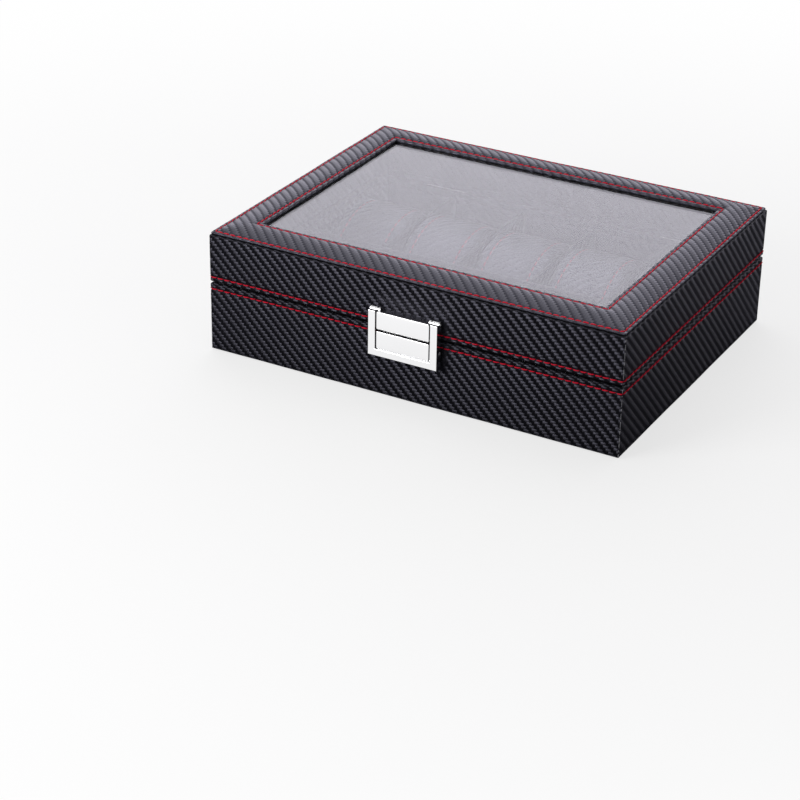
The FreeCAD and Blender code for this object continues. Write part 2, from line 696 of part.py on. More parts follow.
def build_bail():
    """A three-sided frame that hangs over both plates from knuckles at its top ends."""
    rear = f"(-{HALF_Y} - plate_proud - bail_gap)"
    front = f"({rear} - bail_thickness)"
    inner_x = "(bail_width/2 - bail_rail)"
    blank = block("bail_blank", ("-bail_width/2", front, BAIL_LOW),
                  ("bail_width", "bail_thickness", BAIL_TALL))
    mouth = block("bail_mouth", (f"-{inner_x}", front, f"{BAIL_LOW} + bail_sill"),
                  (f"2*{inner_x}", "bail_thickness", BAIL_TALL))
    frame = cut("bail_frame", blank, mouth)
    rounded = round_edges("bail_rounded", frame, "bail_round", edge_on_front(size(front)))
    pieces = [rounded]
    holes = []
    skirt_deep = "(plate_proud + bail_gap - skirt_clearance)"
    skirt_tall = f"({BAIL_TALL} - skirt_top_drop)"
    neck_tall = "bail_top_rise + knuckle_radius"
    bore_radius = "pivot_radius + running_clearance"
    for side, rail_x, skirt_x in (
        ("left", "-bail_width/2", "-bail_width/2"),
        ("right", inner_x, "bail_width/2 - skirt_thickness"),
    ):
        pieces.append(block(f"bail_skirt_{side}", (skirt_x, rear, BAIL_LOW),
                            ("skirt_thickness", skirt_deep, skirt_tall)))
        pieces.append(block(f"bail_neck_{side}", (rail_x, rear, f"{PIVOT_Z} - knuckle_radius"),
                            ("bail_rail", f"{PIVOT_Y} - {rear}", neck_tall)))
        pivot = (rail_x, PIVOT_Y, PIVOT_Z)
        dimple = (skirt_x, f"-{HALF_Y} - bump_proud", CATCH_RIVET_Z)
        pieces.append(rod(f"bail_knuckle_{side}", pivot, "knuckle_radius", "bail_rail", ALONG_X))
        holes.append(rod(f"bail_bore_{side}", pivot, bore_radius, "bail_rail", ALONG_X))
        holes.append(rod(f"bail_dimple_{side}", dimple, "bump_radius", "skirt_thickness", ALONG_X))
    hand_in("clasp_bail", cut("bail", fuse("bail_solid", *pieces), *holes))

    inner_end = f"({PLATE_X} - plate_wall)"
    reach = f"(bail_width/2 - pivot_end_gap - {inner_end})"
    pins = [
        rod(f"pivot_pin_{side}", (x, PIVOT_Y, PIVOT_Z), "pivot_radius", reach, ALONG_X)
        for side, x in (("left", f"-{inner_end} - {reach}"), ("right", inner_end))
    ]
    hand_in("clasp_pivot_pins", group("pivot_pins", *pins))


# hinges

def knuckle(name, start, length):
    return rod(name, (start, HINGE_AXIS_Y, PARTING), "barrel_radius", length, ALONG_X)


def sector(name, start, length, first_angle, angle, radius):
    """A slice of the barrel, with angles counted from the back upwards."""
    turn = ALONG_X * FreeCAD.Rotation(FreeCAD.Vector(0, 0, 1), size(first_angle))
    return rod(name, (start, HINGE_AXIS_Y, PARTING), radius, length, turn, angle)


def leaf_screw_holes(name, centre, face, turn):
    tools = []
    for number, side in enumerate((-1, 1), start=1):
        at = (f"{centre} + {side}*screw_spread/2", SCREW_Y, face)
        tools.append(rod(f"{name}_bore_{number}", at, "screw_radius + running_clearance", "leather", turn))
        tools.append(taper(f"{name}_sink_{number}", at, "screw_head_radius + running_clearance",
                           "screw_radius + running_clearance", "screw_head", turn))
    return tools


def hinge_leaf(name, centre, low, spans):
    """A plate in the rim with necks to its knuckles, which are given by their start and length."""
    plate = block(f"{name}_plate", (f"{centre} - hinge_length/2", LEAF_FRONT, low),
                  ("hinge_length", "leaf_reach", "leather"))
    pieces = [plate]
    for number, (start, length) in enumerate(spans, start=1):
        pieces.append(block(f"{name}_neck_{number}", (start, HALF_Y, low),
                            (length, "barrel_gap + barrel_radius", "leather")))
        pieces.append(knuckle(f"{name}_knuckle_{number}", start, length))
    return pieces


def build_hinge(side, centre):
    """Three knuckles on one pin. Lugs on the lid's knuckle run in notches and stop the open lid."""
    middle_start = f"({centre} - knuckle_length/2)"
    middle_end = f"({centre} + knuckle_length/2)"
    near_start = f"({centre} - hinge_length/2)"
    near_end = f"({middle_start} - knuckle_gap)"
    far_start = f"({middle_end} + knuckle_gap)"
    end_length = "(hinge_length/2 - knuckle_length/2 - knuckle_gap)"
    lug_length = "(stop_length + knuckle_gap)"
    notch_first = "stop_start - lid_swing - stop_margin"
    notch_angle = "stop_angle + lid_swing + 2*stop_margin"
    bore_radius = "hinge_pin_radius + running_clearance"
    bore_at = (near_start, HINGE_AXIS_Y, PARTING)

    pieces = hinge_leaf(f"{side}_base", centre, BASE_BOARD_TOP,
                        [(near_start, end_length), (far_start, end_length)])
    tools = [rod(f"{side}_base_bore", bore_at, bore_radius, "hinge_length", ALONG_X)]
    for name, start in (("near", f"{near_end} - {lug_length}"), ("far", far_start)):
        tools.append(sector(f"{side}_{name}_notch", start, lug_length, notch_first, notch_angle,
                            "barrel_radius + running_clearance"))
    tools += leaf_screw_holes(f"{side}_base", centre, "base_height", POINT_DOWN)
    leaf = fuse(f"{side}_base_solid", *pieces)
    hand_in(f"hinge_{side}_base_leaf", cut(f"{side}_base_leaf", leaf, *tools))

    pieces = hinge_leaf(f"{side}_lid", centre, LID_RIM, [(middle_start, "knuckle_length")])
    for name, start in (("near", f"{middle_start} - {lug_length}"), ("far", middle_end)):
        pieces.append(sector(f"{side}_{name}_lug", start, lug_length, "stop_start", "stop_angle",
                             "barrel_radius"))
    tools = [rod(f"{side}_lid_bore", bore_at, bore_radius, "hinge_length", ALONG_X)]
    tools += leaf_screw_holes(f"{side}_lid", centre, LID_RIM, UPRIGHT)
    leaf = fuse(f"{side}_lid_solid", *pieces)
    hand_in(f"hinge_{side}_lid_leaf", cut(f"{side}_lid_leaf", leaf, *tools))
    return rod(f"{side}_hinge_pin", bore_at, "hinge_pin_radius", "hinge_length", ALONG_X)


def hinge_screws(label, face, turn):
    """Countersunk screws with a cross slot, heads flush with the leaf."""
    into = turn.multVec(FreeCAD.Vector(0, 0, 1)).z
    screws = []
    for number, x in enumerate(screw_centres(), start=1):
        name = f"{label}_{number}"
        head_at = (x, SCREW_Y, face)
        shank_at = (x, SCREW_Y, f"{face} + {into}*screw_head")
        tip_at = (x, SCREW_Y, f"{face} + {into}*screw_length")
        head = taper(f"{name}_head", head_at, "screw_head_radius", "screw_radius", "screw_head", turn)
        shank = rod(f"{name}_shank", shank_at, "screw_radius", "screw_length - screw_head", turn)
        tip = taper(f"{name}_tip", tip_at, "screw_radius", "screw_point_radius", "screw_tip", turn)
        slot_low = f"{face} + ({into} - 1)*screw_slot/2"
        long_span = "(2*screw_radius)"
        slots = [
            block(f"{name}_slot_{along}", (f"{x} - {span_x}/2", f"{SCREW_Y} - {span_y}/2", slot_low),
                  (span_x, span_y, "screw_slot"))
            for along, span_x, span_y in (("a", long_span, "screw_slot"), ("b", "screw_slot", long_span))
        ]
        screws.append(cut(name, fuse(f"{name}_solid", head, shank, tip), *slots))
    hand_in(label, group(f"{label}_group", *screws))


def build_hinges():
    pins = [build_hinge(side, centre) for side, centre in HINGE_CENTRES.items()]
    hand_in("hinge_pins", group("hinge_pin_group", *pins))
    hinge_screws("hinge_base_screws", "base_height", POINT_DOWN)
    hinge_screws("hinge_lid_screws", LID_RIM, UPRIGHT)


# pillows

# where a pillow's outline is drawn in: distance from its end, and by how much
PILLOW_END = 0.0
PILLOW_END_DRAW = 5.0
PILLOW_EDGE = 1.2
PILLOW_EDGE_DRAW = 2.4
PILLOW_SHOULDER = 3.6
PILLOW_SHOULDER_DRAW = 0.8
SEAM_HALF_WIDTH = 1.0
SEAM_DRAW = 0.9
SEAM_SIDE_DRAW = 0.3
# shares of a pillow's half length and height that shape its outline
PILLOW_FLAT = 0.72
PILLOW_WAIST = 0.36


def pillow_outline(x, half_length, height, low):
    """A flat foot, rounded lower corners and one crown arc, in the plane X = x."""
    def at(y, z):
        return FreeCAD.Vector(x, y, low + z)

    foot = PILLOW_FLAT * half_length
    waist = PILLOW_WAIST * height
    corner = ((half_length - foot) ** 2 + waist ** 2) / (2 * waist)
    turn = 0.5 ** 0.5
    knee_y = foot + corner * turn
    knee_z = corner * (1 - turn)
    edges = [
        Part.makeLine(at(-foot, 0), at(foot, 0)),
        Part.Arc(at(foot, 0), at(knee_y, knee_z), at(half_length, waist)).toShape(),
        Part.Arc(at(half_length, waist), at(0, height), at(-half_length, waist)).toShape(),
        Part.Arc(at(-half_length, waist), at(-knee_y, knee_z), at(-foot, 0)).toShape(),
    ]
    return Part.Wire(edges)


def pillow_shape(shrink):
    """A loft along X through outlines that are drawn in at the ends and along the two seams."""
    half_width = size(f"{PLACE_X}/2 - pillow_side_gap") - shrink
    half_length = size(f"{PLACE_Y}/2 - strap_gap") - shrink
    height = size("pillow_height") - 2 * shrink
    seam = size("pillow_seam_inset") - shrink
    draws = [
        (PILLOW_END, PILLOW_END_DRAW),
        (PILLOW_EDGE, PILLOW_EDGE_DRAW),
        (PILLOW_SHOULDER, PILLOW_SHOULDER_DRAW),
        (seam - SEAM_HALF_WIDTH, SEAM_SIDE_DRAW),
        (seam, SEAM_DRAW),
        (seam + SEAM_HALF_WIDTH, SEAM_SIDE_DRAW),
        (half_width, 0.0),
    ]
    left = [(inset - half_width, draw) for inset, draw in draws]
    right = [(-x, draw) for x, draw in left[-2::-1]]
    outlines = [
        pillow_outline(x, half_length - draw, height - 2 * draw, shrink + draw) for x, draw in left + right
    ]
    return Part.makeLoft(outlines, True, True)


def build_pillows():
    cover = size("pillow_cover")
    outer = pillow_shape(0)
    shell = outer.cut(pillow_shape(cover))
    core = pillow_shape(cover + size("pillow_core_gap"))
    rest = size(f"{INSIDE} + pillow_rest_gap")
    for row in range(ROWS):
        for column in range(COLUMNS):
            number = row * COLUMNS + column + 1
            x = size(f"({column} - (columns - 1)/2)*{PITCH_X}")
            y = size(f"({row} - (rows - 1)/2)*{PITCH_Y}")
            for piece, shape in (("cover", shell), ("core", core)):
                feature = doc.addObject("Part::Feature", f"pillow_{number}_{piece}_solid")
                feature.Shape = shape
                feature.Placement = FreeCAD.Placement(FreeCAD.Vector(x, y, rest), UPRIGHT)
                hand_in(f"pillow_{number}_{piece}", feature)


build_base_boards()
build_base_leather()
build_dividers()
build_lid_boards()
build_window()
build_lid_leather()
build_padded_frame()
build_hinge_plate()
build_catch()
build_bail()
build_hinges()
build_pillows()
doc.recompute()

for obj in doc.Objects:
    if "Invalid" in obj.State or "Error" in obj.State:
        raise RuntimeError(f"{obj.Name} did not build: {obj.State}")
for label, obj in subparts.items():
    if obj.Shape.isNull() or not obj.Shape.isValid() or not obj.Shape.Solids:
        raise RuntimeError(f"{label} has no valid solid")

os.makedirs("parts", exist_ok=True)
for label, obj in subparts.items():
    obj.Shape.exportStep(f"parts/{label}.step")
print(f"{len(subparts)} sub-parts written")
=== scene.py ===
import json
import math

import bpy
import numpy as np
from mathutils import Matrix, Vector


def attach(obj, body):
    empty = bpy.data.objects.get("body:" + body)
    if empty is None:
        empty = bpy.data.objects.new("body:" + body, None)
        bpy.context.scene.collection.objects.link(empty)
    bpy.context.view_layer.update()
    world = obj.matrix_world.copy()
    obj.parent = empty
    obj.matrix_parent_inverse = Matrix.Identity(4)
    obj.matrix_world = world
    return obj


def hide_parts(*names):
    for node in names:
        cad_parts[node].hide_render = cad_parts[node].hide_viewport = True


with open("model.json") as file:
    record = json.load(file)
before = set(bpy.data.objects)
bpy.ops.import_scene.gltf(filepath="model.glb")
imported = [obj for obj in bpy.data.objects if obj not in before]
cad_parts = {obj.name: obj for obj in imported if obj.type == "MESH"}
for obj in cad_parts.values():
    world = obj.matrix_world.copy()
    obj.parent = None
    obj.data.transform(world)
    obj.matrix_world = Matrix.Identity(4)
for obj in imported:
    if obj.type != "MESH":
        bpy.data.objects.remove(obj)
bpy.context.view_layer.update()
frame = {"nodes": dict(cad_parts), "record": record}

# Lengths are in millimetres, apart from the stage's. Meshes are scaled to metres as they are made.
MM = 0.001
# the UV map that carries the leather's real size, in millimetres
WEAVE = "weave"
# the attribute that is 1 along the upright edges, where a highlight is painted
EDGE_HIGHLIGHT = "painted_highlight"

# the box, with its boards, sheets and places
HALF_X = 130.0
HALF_Y = 100.0
BASE_RIM = 42.7
PARTING_GAP = 0.6
LEATHER = 1.0
WALL_BOARD = 8.0
LINING = 0.8
FLOOR = 5.4
COLUMNS = 5
ROWS = 2
DIVIDER = 3.6
DIVIDER_DROP = 4.0
LID_RIM = BASE_RIM + PARTING_GAP
BOARD_INSET = LEATHER + WALL_BOARD
RIM_INSET = BOARD_INSET + LEATHER
LINING_INSET = BOARD_INSET + LINING
INSIDE_X = HALF_X - LINING_INSET
INSIDE_Y = HALF_Y - LINING_INSET
COLUMN_PITCH = (2 * INSIDE_X + DIVIDER) / COLUMNS
ROW_PITCH = (2 * INSIDE_Y + DIVIDER) / ROWS

# roundings: the box's upright edges, and the points of an arc
BOX_CORNER = 0.5
LEAST_CORNER = 0.3
CORNER_STEPS = 6
ARC_POINTS = 7

# the hinge leaves' beds in the rims
HINGE_X = 80.0
LEAF_HALF = 13.2
LEAF_Y = 92.3
LEAF_DEPTH = 1.05

# stitching: pitch and gap along a line, slant across it, the thread, and how a stitch arches
STITCH_PITCH = 4.33
STITCH_GAP = 0.09
STITCH_SLANT = 0.14
STITCH_RISE = 0.62
STITCH_DIVE = 0.54
ARCH_POWER = 0.3
THREAD_RADIUS = 0.40
THREAD_END = 0.62
THREAD_FLATNESS = 0.85
THREAD_RINGS = 7
THREAD_SIDES = 8
STEPS_PER_STITCH = 4

# stitch lines as (inset, height), and the (outward, upward) way that each looks
BASE_STITCH = (0.0, 38.9)
LID_STITCH = (0.0, 46.3)
OUTER_STITCH = (2.7, 74.15)
INNER_STITCH = (19.8, 75.95)
SIDE_LEAN = (1, 0)
OUTER_LEAN = (0.2, 1)
INNER_LEAN = (-0.1, 1)

# seams: depth and width of the groove, its shares along the line and at a hole, and the pucker round that
SIDE_GROOVE = (0.42, 0.7)
PAD_GROOVE = (0.34, 0.75)
GROOVE_SHARE = 0.45
HOLE_SHARE = 0.55
PUCKER_SHARE = 0.35
PUCKER_REACH = 3

# covers: their unevenness, the leather over a rim, its turn-in behind that and its turn under the base, the
# heights between which points lie close for a stitch line, and how far the hidden side stays off the boards
SIDE_UNEVEN = 0.08
PAD_UNEVEN = 0.1
LINING_UNEVEN = 0.06
RIM_ROLL = 1.4
RIM_DEPTH = 1.1
TURN_IN = 4.9
FOOT = 0.62
FOOT_ROLL = 0.5
FOOT_TURN = 12.0
FOOT_DEPTH = 1.03
BASE_BAND = (37.1, 40.7)
LID_BAND = (44.75, 48.1)
OFF_BOARD = 0.05
BOARD_FRONT = LEATHER - OFF_BOARD
BOARD_BACK = BOARD_INSET + OFF_BOARD
# upper and lower edge of the wall linings
BASE_LINING = (37.7, FLOOR + OFF_BOARD)
LID_LINING = (70.55, 48.3)

# the lid's side leather, where it tucks in under the padded frame
LID_TOP = 72.5
TOP_ROLL = 1.0
TUCK_START = (1.3, 72.72)
TUCK_END = (3.2, 73.5)
TUCK_DEPTH = 0.25
TOP_DEPTH = 0.2

# the padded frame's section: outer edge, swell between the stitch lines and lip over the window, each as
# profile or curve takes it, and the (inset, height) marks that close it behind
PAD_EDGE = ((1.7, 72.95, 0, 0.5), (0.7, 72.95, 0.3, 0.3), (0.7, 74.2, 0.8, 0.4), (2.0, 74.2, 0, 0.3))
PAD_SWELL = (
    OUTER_STITCH, (3.6, 74.5), (5.0, 75.0), (7.0, 75.65), (9.5, 76.3), (12.0, 76.75), (14.5, 76.95),
    (16.8, 76.85), (18.6, 76.4), INNER_STITCH)
PAD_STEP = 0.4
PAD_LIP = ((20.4, 76.0, 0, 0.4), (22.5, 76.0, 1.0, 0.4), (22.5, 74.1, 0.2, 0.4), (21.9, 74.1, 0, 0.4))
PAD_BACK = ((21.6, 74.5), (21.6, 75.05), (8.0, 75.05), (1.7, 72.98))
# its corners: outside the outer stitch line, on the two lines, inside the inner one, and more between them
PANEL_CORNER = 1.6
PANEL_LEAST = 0.8
SEAM_CORNER = 0.7
LIP_CORNER = 0.6
PAD_CORNER = 5.0

# clasp faces: half width, corner rounding, (inset, y) from the sides to the middle of a face, and each
# face's lower and upper edge and the y that its sides reach back to
FACE_HALF = 16.5
FACE_CORNER = 0.45
FACE_CORNER_STEPS = 5
FACE_EDGE = (
    (0.0, -105.75), (0.04, -105.95), (0.15, -106.12), (0.32, -106.22), (0.6, -106.27),
    (2.0, -106.34), (4.0, -106.37))
CATCH_FACE = (31.9, 42.35, -104.4)
HINGE_FACE = (43.65, 54.27, -100.35)

# divider wraps: the play at their ends, the rounded top, how a strip sways and how its wrap thins and sinks
DIVIDER_TOP = BASE_RIM - DIVIDER_DROP
DIVIDER_HALF = DIVIDER / 2
DIVIDER_PLAY = 0.4
DIVIDER_ROUND = 1.3
DIVIDER_STEP = 2.5
SWAY = 0.12
SWAY_LENGTH = 13.0
SWAY_SHIFT = 9.0
WRAP_THINNING = 0.005
WRAP_SINKING = 0.015
WRAP_CREST = 3.0

# pillows: outline, seams and how far the cover may swell
PILLOW_HALF_X = 21.4
PILLOW_HALF_Y = 38.2
PILLOW_HEIGHT = 36.0
PILLOW_LOW = 5.6
PILLOW_SEAM = 15.0
PILLOW_FLAT = 0.72
PILLOW_WAIST = 0.36
PILLOW_SWELL = 1.4
PILLOW_BULGE = 0.25
SEWN_ABOVE = 4.0
# points of the outline's foot, corners and crown, and those that are spread evenly round it
FOOT_POINTS = 20
SIDE_POINTS = 24
CROWN_POINTS = 80
PILLOW_AROUND = 104
# rows: close together near an end, wider over the body, and as shares of the rim over an end's dome
END_ZONE = 3.0
END_STATIONS = 6
BODY_STATIONS = 17
END_SHARES = (0.05, 0.3, 0.55, 0.78, 0.92)
END_ROWS = len(END_SHARES)
END_DOME = 0.35
# how one pillow differs from the next: an unevenness that fades out towards the foot, and a slight turn
PILLOW_UNEVEN = 0.22
UNEVEN_FADE = 12
UNEVEN_REACH = 60
UNEVEN_STRETCH = 1.4
UNEVEN_SHIFT = (31, 17)
PILLOW_TURN = math.radians(0.3)
TURN_SHIFT = 2.4

# the cloth simulation, at a size that suits its solver
CLOTH_SCALE = 10.0
CLOTH_FRAMES = 20
CLOTH_PINS = "sewn"
PINNED_BELOW = 2.0
CLOTH_SETTINGS = {
    "quality": 6, "mass": 0.3, "tension_stiffness": 20, "compression_stiffness": 20, "shear_stiffness": 10,
    "bending_stiffness": 2, "use_pressure": True, "uniform_pressure_force": 4,
    "vertex_group_mass": CLOTH_PINS}

# the twill: the width of a cell and the cells that a float passes over
TWILL_CELL = 1.583
OVER = 2.0
# How the twill's floats lean, as slopes: arch along a float and crown across it, ridge across a whole rib,
# and the mean lean of the raised floats and of the sunk ones. Sunk floats are rougher by a share and painted
# darker by it, as shade, and a crease is the roughness at the start of a rib, which fades over CREASE_WIDTH
# cells.
SIDE_WEAVE = {
    "arch": 0.15, "crown": 0.13, "ridge": 0.0, "raised": (-0.04, 0.45), "sunk": (0.04, -0.14), "dull_and_shaded": 0.45,
    "crease": 0.0}
TOP_WEAVE = {
    "arch": 0.05, "crown": 0.08, "ridge": 0.14, "raised": (0.0, -0.05), "sunk": (0.0, -0.05), "dull_and_shaded": 0.0,
    "crease": 0.9}
INNER_WEAVE = {
    "arch": 0.08, "crown": 0.10, "ridge": 0.30, "raised": (0.0, 0.0), "sunk": (0.0, 0.0), "dull_and_shaded": 0.0,
    "crease": 0.0}
CREASE_WIDTH = 3.0
# the leather: gloss, grain, painted shade in the crevices between floats, slow scuffs, and painted
# highlights in patches along its upright edges
LEATHER_SPECULAR = 0.32
TOP_SPECULAR = 0.95
PILLOW_SPECULAR = 1.0
DIVIDER_SPECULAR = 0.2
LEATHER_GLOSS = (0.80, 0.78, 1.0, 1.0)
LEATHER_TINT = 0.3
GRAIN_SCALE = 2.6
GRAIN_ALONG = 0.12
GRAIN_ACROSS = 0.08
CREVICE_POWER = 7.0
# painted shade: the share of the body colour left in the crevices between floats and on sunk floats
CREVICE_SHADE = 0.25
DULL_ROUGHNESS = 0.3
SCUFF_SCALE = 0.035
SCUFF_ROUGHNESS = 0.12
# painted highlight: lighter grey patches along the box's upright edges, where light glints
HIGHLIGHT_SCALE = 0.45
HIGHLIGHT_DETAIL = 6.0
HIGHLIGHT_FROM = 0.46
HIGHLIGHT_GREY = 0.5
HIGHLIGHT_TINT = 0.05
HIGHLIGHT_REACH = 0.75 * BOX_CORNER
# turns of the thread's plies along a millimetre and round the thread
PLY_ALONG = 1.35
PLY_ROUND = 2.0

# the stage, in metres
CAMERA_PLACE = (0.5566, -1.1145, 0.6047)
CAMERA_YAW = math.radians(28.93)
CAMERA_PITCH = math.radians(27.55)
CAMERA_ROLL = math.radians(0.91)
SENSOR = 36.0
FOCAL_PIXELS = 2334
PHOTO_PIXELS = 800
# the world's strength as light
AMBIENT = 0.35
FLOOR_REACH = 4.0
FLOOR_LEVEL = -0.0002
# the floor's share of plain white where it is seen or mirrored: by the box, and all of it from GLOW_FAR on
FLOOR_GLOW = 0.7
GLOW_NEAR = 0.15
GLOW_FAR = 0.75
# the floor's colour for the light it throws back
FLOOR_BOUNCE = 0.10
COOL = (0.92, 0.89, 1.0)

nodes = frame["nodes"]
scene = bpy.context.scene


# meshes

def unit(vectors):
    vectors = np.asarray(vectors, float)
    return vectors / np.maximum(np.linalg.norm(vectors, axis=-1, keepdims=True), 1e-12)


def lengths(line, closed=False):
    """Distance from the first point to each point of a polyline, and back to the first where it closes."""
    line = np.concatenate((line, line[:1])) if closed else line
    steps = np.linalg.norm(np.diff(line, axis=0), axis=1)
    return np.concatenate(([0.0], np.cumsum(steps)))


class Skin:
    """Vertices, faces and weave map of one piece, gathered grid by grid."""

    def __init__(self):
        self.points = []
        self.faces = []
        self.map = []
        self.painted_highlight = None
        self.count = 0

    def grid(self, points, low_map, high_map=None, close_rows=False, close_columns=False):
        """Adds rows of points. The faces from row r to the next are mapped by low_map[r] and high_map[r]."""
        rows, columns = points.shape[:2]
        if high_map is None:
            high_map = np.concatenate((low_map[1:], low_map[-1:]))
        row_count = rows if close_rows else rows - 1
        column_count = columns if close_columns else columns - 1
        row = np.repeat(np.arange(row_count), column_count)
        column = np.tile(np.arange(column_count), row_count)
        next_row = (row + 1) % rows
        next_column = (column + 1) % columns
        faces = np.stack((
            row * columns + column, row * columns + next_column,
            next_row * columns + next_column, next_row * columns + column), 1)
        corners = np.stack((
            low_map[row, column], low_map[row, column + 1],
            high_map[row, column + 1], high_map[row, column]), 1)
        first = self.count
        self.points.append(points.reshape(-1, 3))
        self.faces.extend((faces + first).tolist())
        self.map.append(corners.reshape(-1, 2))
        self.count += rows * columns
        return first

    def cap(self, indices, mapped):
        self.faces.append(list(indices))
        self.map.append(np.asarray(mapped, float))

    def tube(self, points, low_map, high_map=None, end_map=None):
        """Adds rows that close round a piece, and caps the first and the last of them."""
        rows, columns = points.shape[:2]
        first = self.grid(points, low_map, high_map, close_columns=True)
        last = first + (rows - 1) * columns
        low_end, high_end = (low_map[0, :-1], low_map[-1, :-1]) if end_map is None else (end_map, end_map)
        self.cap(range(first + columns - 1, first - 1, -1), low_end[::-1])
        self.cap(range(last, last + columns), high_end)

    def mesh(self, name):
        mesh = bpy.data.meshes.new(name)
        points = np.concatenate(self.points) * MM
        mesh.from_pydata(points.tolist(), [], self.faces)
        layer = mesh.uv_layers.new(name=WEAVE)
        layer.data.foreach_set("uv", np.concatenate(self.map).astype(np.float32).ravel())
        if self.painted_highlight is not None:
            highlighted = mesh.attributes.new(EDGE_HIGHLIGHT, "FLOAT", "POINT")
            highlighted.data.foreach_set("value", self.painted_highlight.astype(np.float32).ravel())
        mesh.polygons.foreach_set("use_smooth", np.ones(len(self.faces), bool))
        mesh.update()
        return mesh


def hoop(points, mapped):
    """A skin that closes both round the box and round its section."""
    skin = Skin()
    skin.grid(points, mapped, close_rows=True, close_columns=True)
    return skin


def add_piece(name, skin, body, slot, replaced=(), material=None):
    mesh = skin.mesh(name)
    mesh.materials.append(material or materials[slot])
    piece = bpy.data.objects.new(name, mesh)
    scene.collection.objects.link(piece)
    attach(piece, body)
    if replaced:
        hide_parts(*replaced)
    return piece


def rounded(before, corner, after, radius):
    """Points of the arc that rounds a corner between two straights."""
    back = unit(before - corner)
    onward = unit(after - corner)
    half = math.acos(np.clip(back @ onward, -1, 1)) / 2
    centre = corner + unit(back + onward) * radius / math.sin(half)
    start = corner + back * radius / math.tan(half) - centre
    end = corner + onward * radius / math.tan(half) - centre
    first = math.atan2(start[1], start[0])
    swing = (math.atan2(end[1], end[0]) - first + math.pi) % (2 * math.pi) - math.pi
    angles = first + swing * np.linspace(0, 1, ARC_POINTS)
    return [centre + radius * np.array((math.cos(angle), math.sin(angle))) for angle in angles]


def profile(*corners):
    """A polyline through (inset, height, rounding, step) corners, with points a step apart after each."""
    marks = [np.array(corner[:2], float) for corner in corners]
    line = []
    for k, (_, _, rounding, _) in enumerate(corners):
        turn = [marks[k]]
        if rounding and 0 < k < len(corners) - 1:
            turn = rounded(marks[k - 1], marks[k], marks[k + 1], rounding)
        if line:
            start = line[-1]
            reach = turn[0] - start
            parts = max(1, math.ceil(np.linalg.norm(reach) / corners[k - 1][3]))
            line.extend(start + reach * part / parts for part in range(1, parts))
        line.extend(turn)
    return np.array(line)


def curve(marks, step):
    """A smooth line through (inset, height) marks, with points about a step apart."""
    marks = np.array(marks, float)
    ends = np.concatenate((2 * marks[:1] - marks[1:2], marks, 2 * marks[-1:] - marks[-2:-1]))
    line = []
    for a, b, c, d in zip(ends, ends[1:], ends[2:], ends[3:]):
        parts = max(1, math.ceil(np.linalg.norm(c - b) / step))
        for part in range(parts):
            t = part / parts
            line.append(0.5 * (2 * b + (c - a) * t + (2 * a - 5 * b + 4 * c - d) * t ** 2
                               + (3 * b - a - 3 * c + d) * t ** 3))
    line.append(marks[-1])
    return np.array(line)


def ring(half_x, half_y, corner):
    """Points and outward directions round a rectangle with rounded corners, from its front left one on."""
    points = []
    outward = []
    for dx, dy in ((1, 0), (0, 1), (-1, 0), (0, -1)):
        ahead = np.array((dx, dy), float)
        out = np.array((dy, -dx), float)
        along = half_x if dx else half_y
        across = half_y if dx else half_x
        full = HALF_X if dx else HALF_Y
        steps = STEPS_PER_STITCH * round(2 * full / STITCH_PITCH)
        reach = along - corner
        for step in range(steps):
            points.append(ahead * reach * (2 * step / steps - 1) + out * across)
            outward.append(out)
        centre = ahead * reach + out * (across - corner)
        for step in range(CORNER_STEPS):
            angle = math.pi / 2 * step / CORNER_STEPS
            turn = out * math.cos(angle) + ahead * math.sin(angle)
            points.append(centre + turn * corner)
            outward.append(turn)
    return np.array(points), np.array(outward)


def box_corner(inset):
    """Corner rounding on the box's sides."""
    return max(BOX_CORNER - inset, LEAST_CORNER)


def pad_corner(inset):
    """Corner rounding on the padded frame: tight along both seams and full between them."""
    low, high = OUTER_STITCH[0], INNER_STITCH[0]
    if inset <= low:
        return max(PANEL_CORNER - inset, PANEL_LEAST)
    if inset >= high:
        return LIP_CORNER
    return SEAM_CORNER + PAD_CORNER * math.sin(math.pi * (inset - low) / (high - low)) ** 2


def ripple(x, y, seed):
    """A slow, even unevenness between about -1 and 1, of three waves that seed sets apart."""
    turn = 0.7 * seed
    broad = np.sin(x / 11.3 + 1.7 * turn + 0.6 * np.sin(y / 9.1 + turn))
    slanting = np.sin(y / 7.9 - x / 17.7 + 2.3 * turn)
    short = np.sin(x / 4.7 + y / 6.3 + 3.1 * turn)
    return 0.5 * broad + 0.3 * slanting + 0.2 * short


def hole_beat(inset, corner):
    """1 at the stitch holes of a line round the box and 0 midway between, for each point of its ring."""
    loop, _ = ring(HALF_X - inset, HALF_Y - inset, corner)
    run = lengths(loop, closed=True)
    pitch = run[-1] / round(run[-1] / STITCH_PITCH)
    return 0.5 + 0.5 * np.cos(2 * math.pi * run[:-1] / pitch)


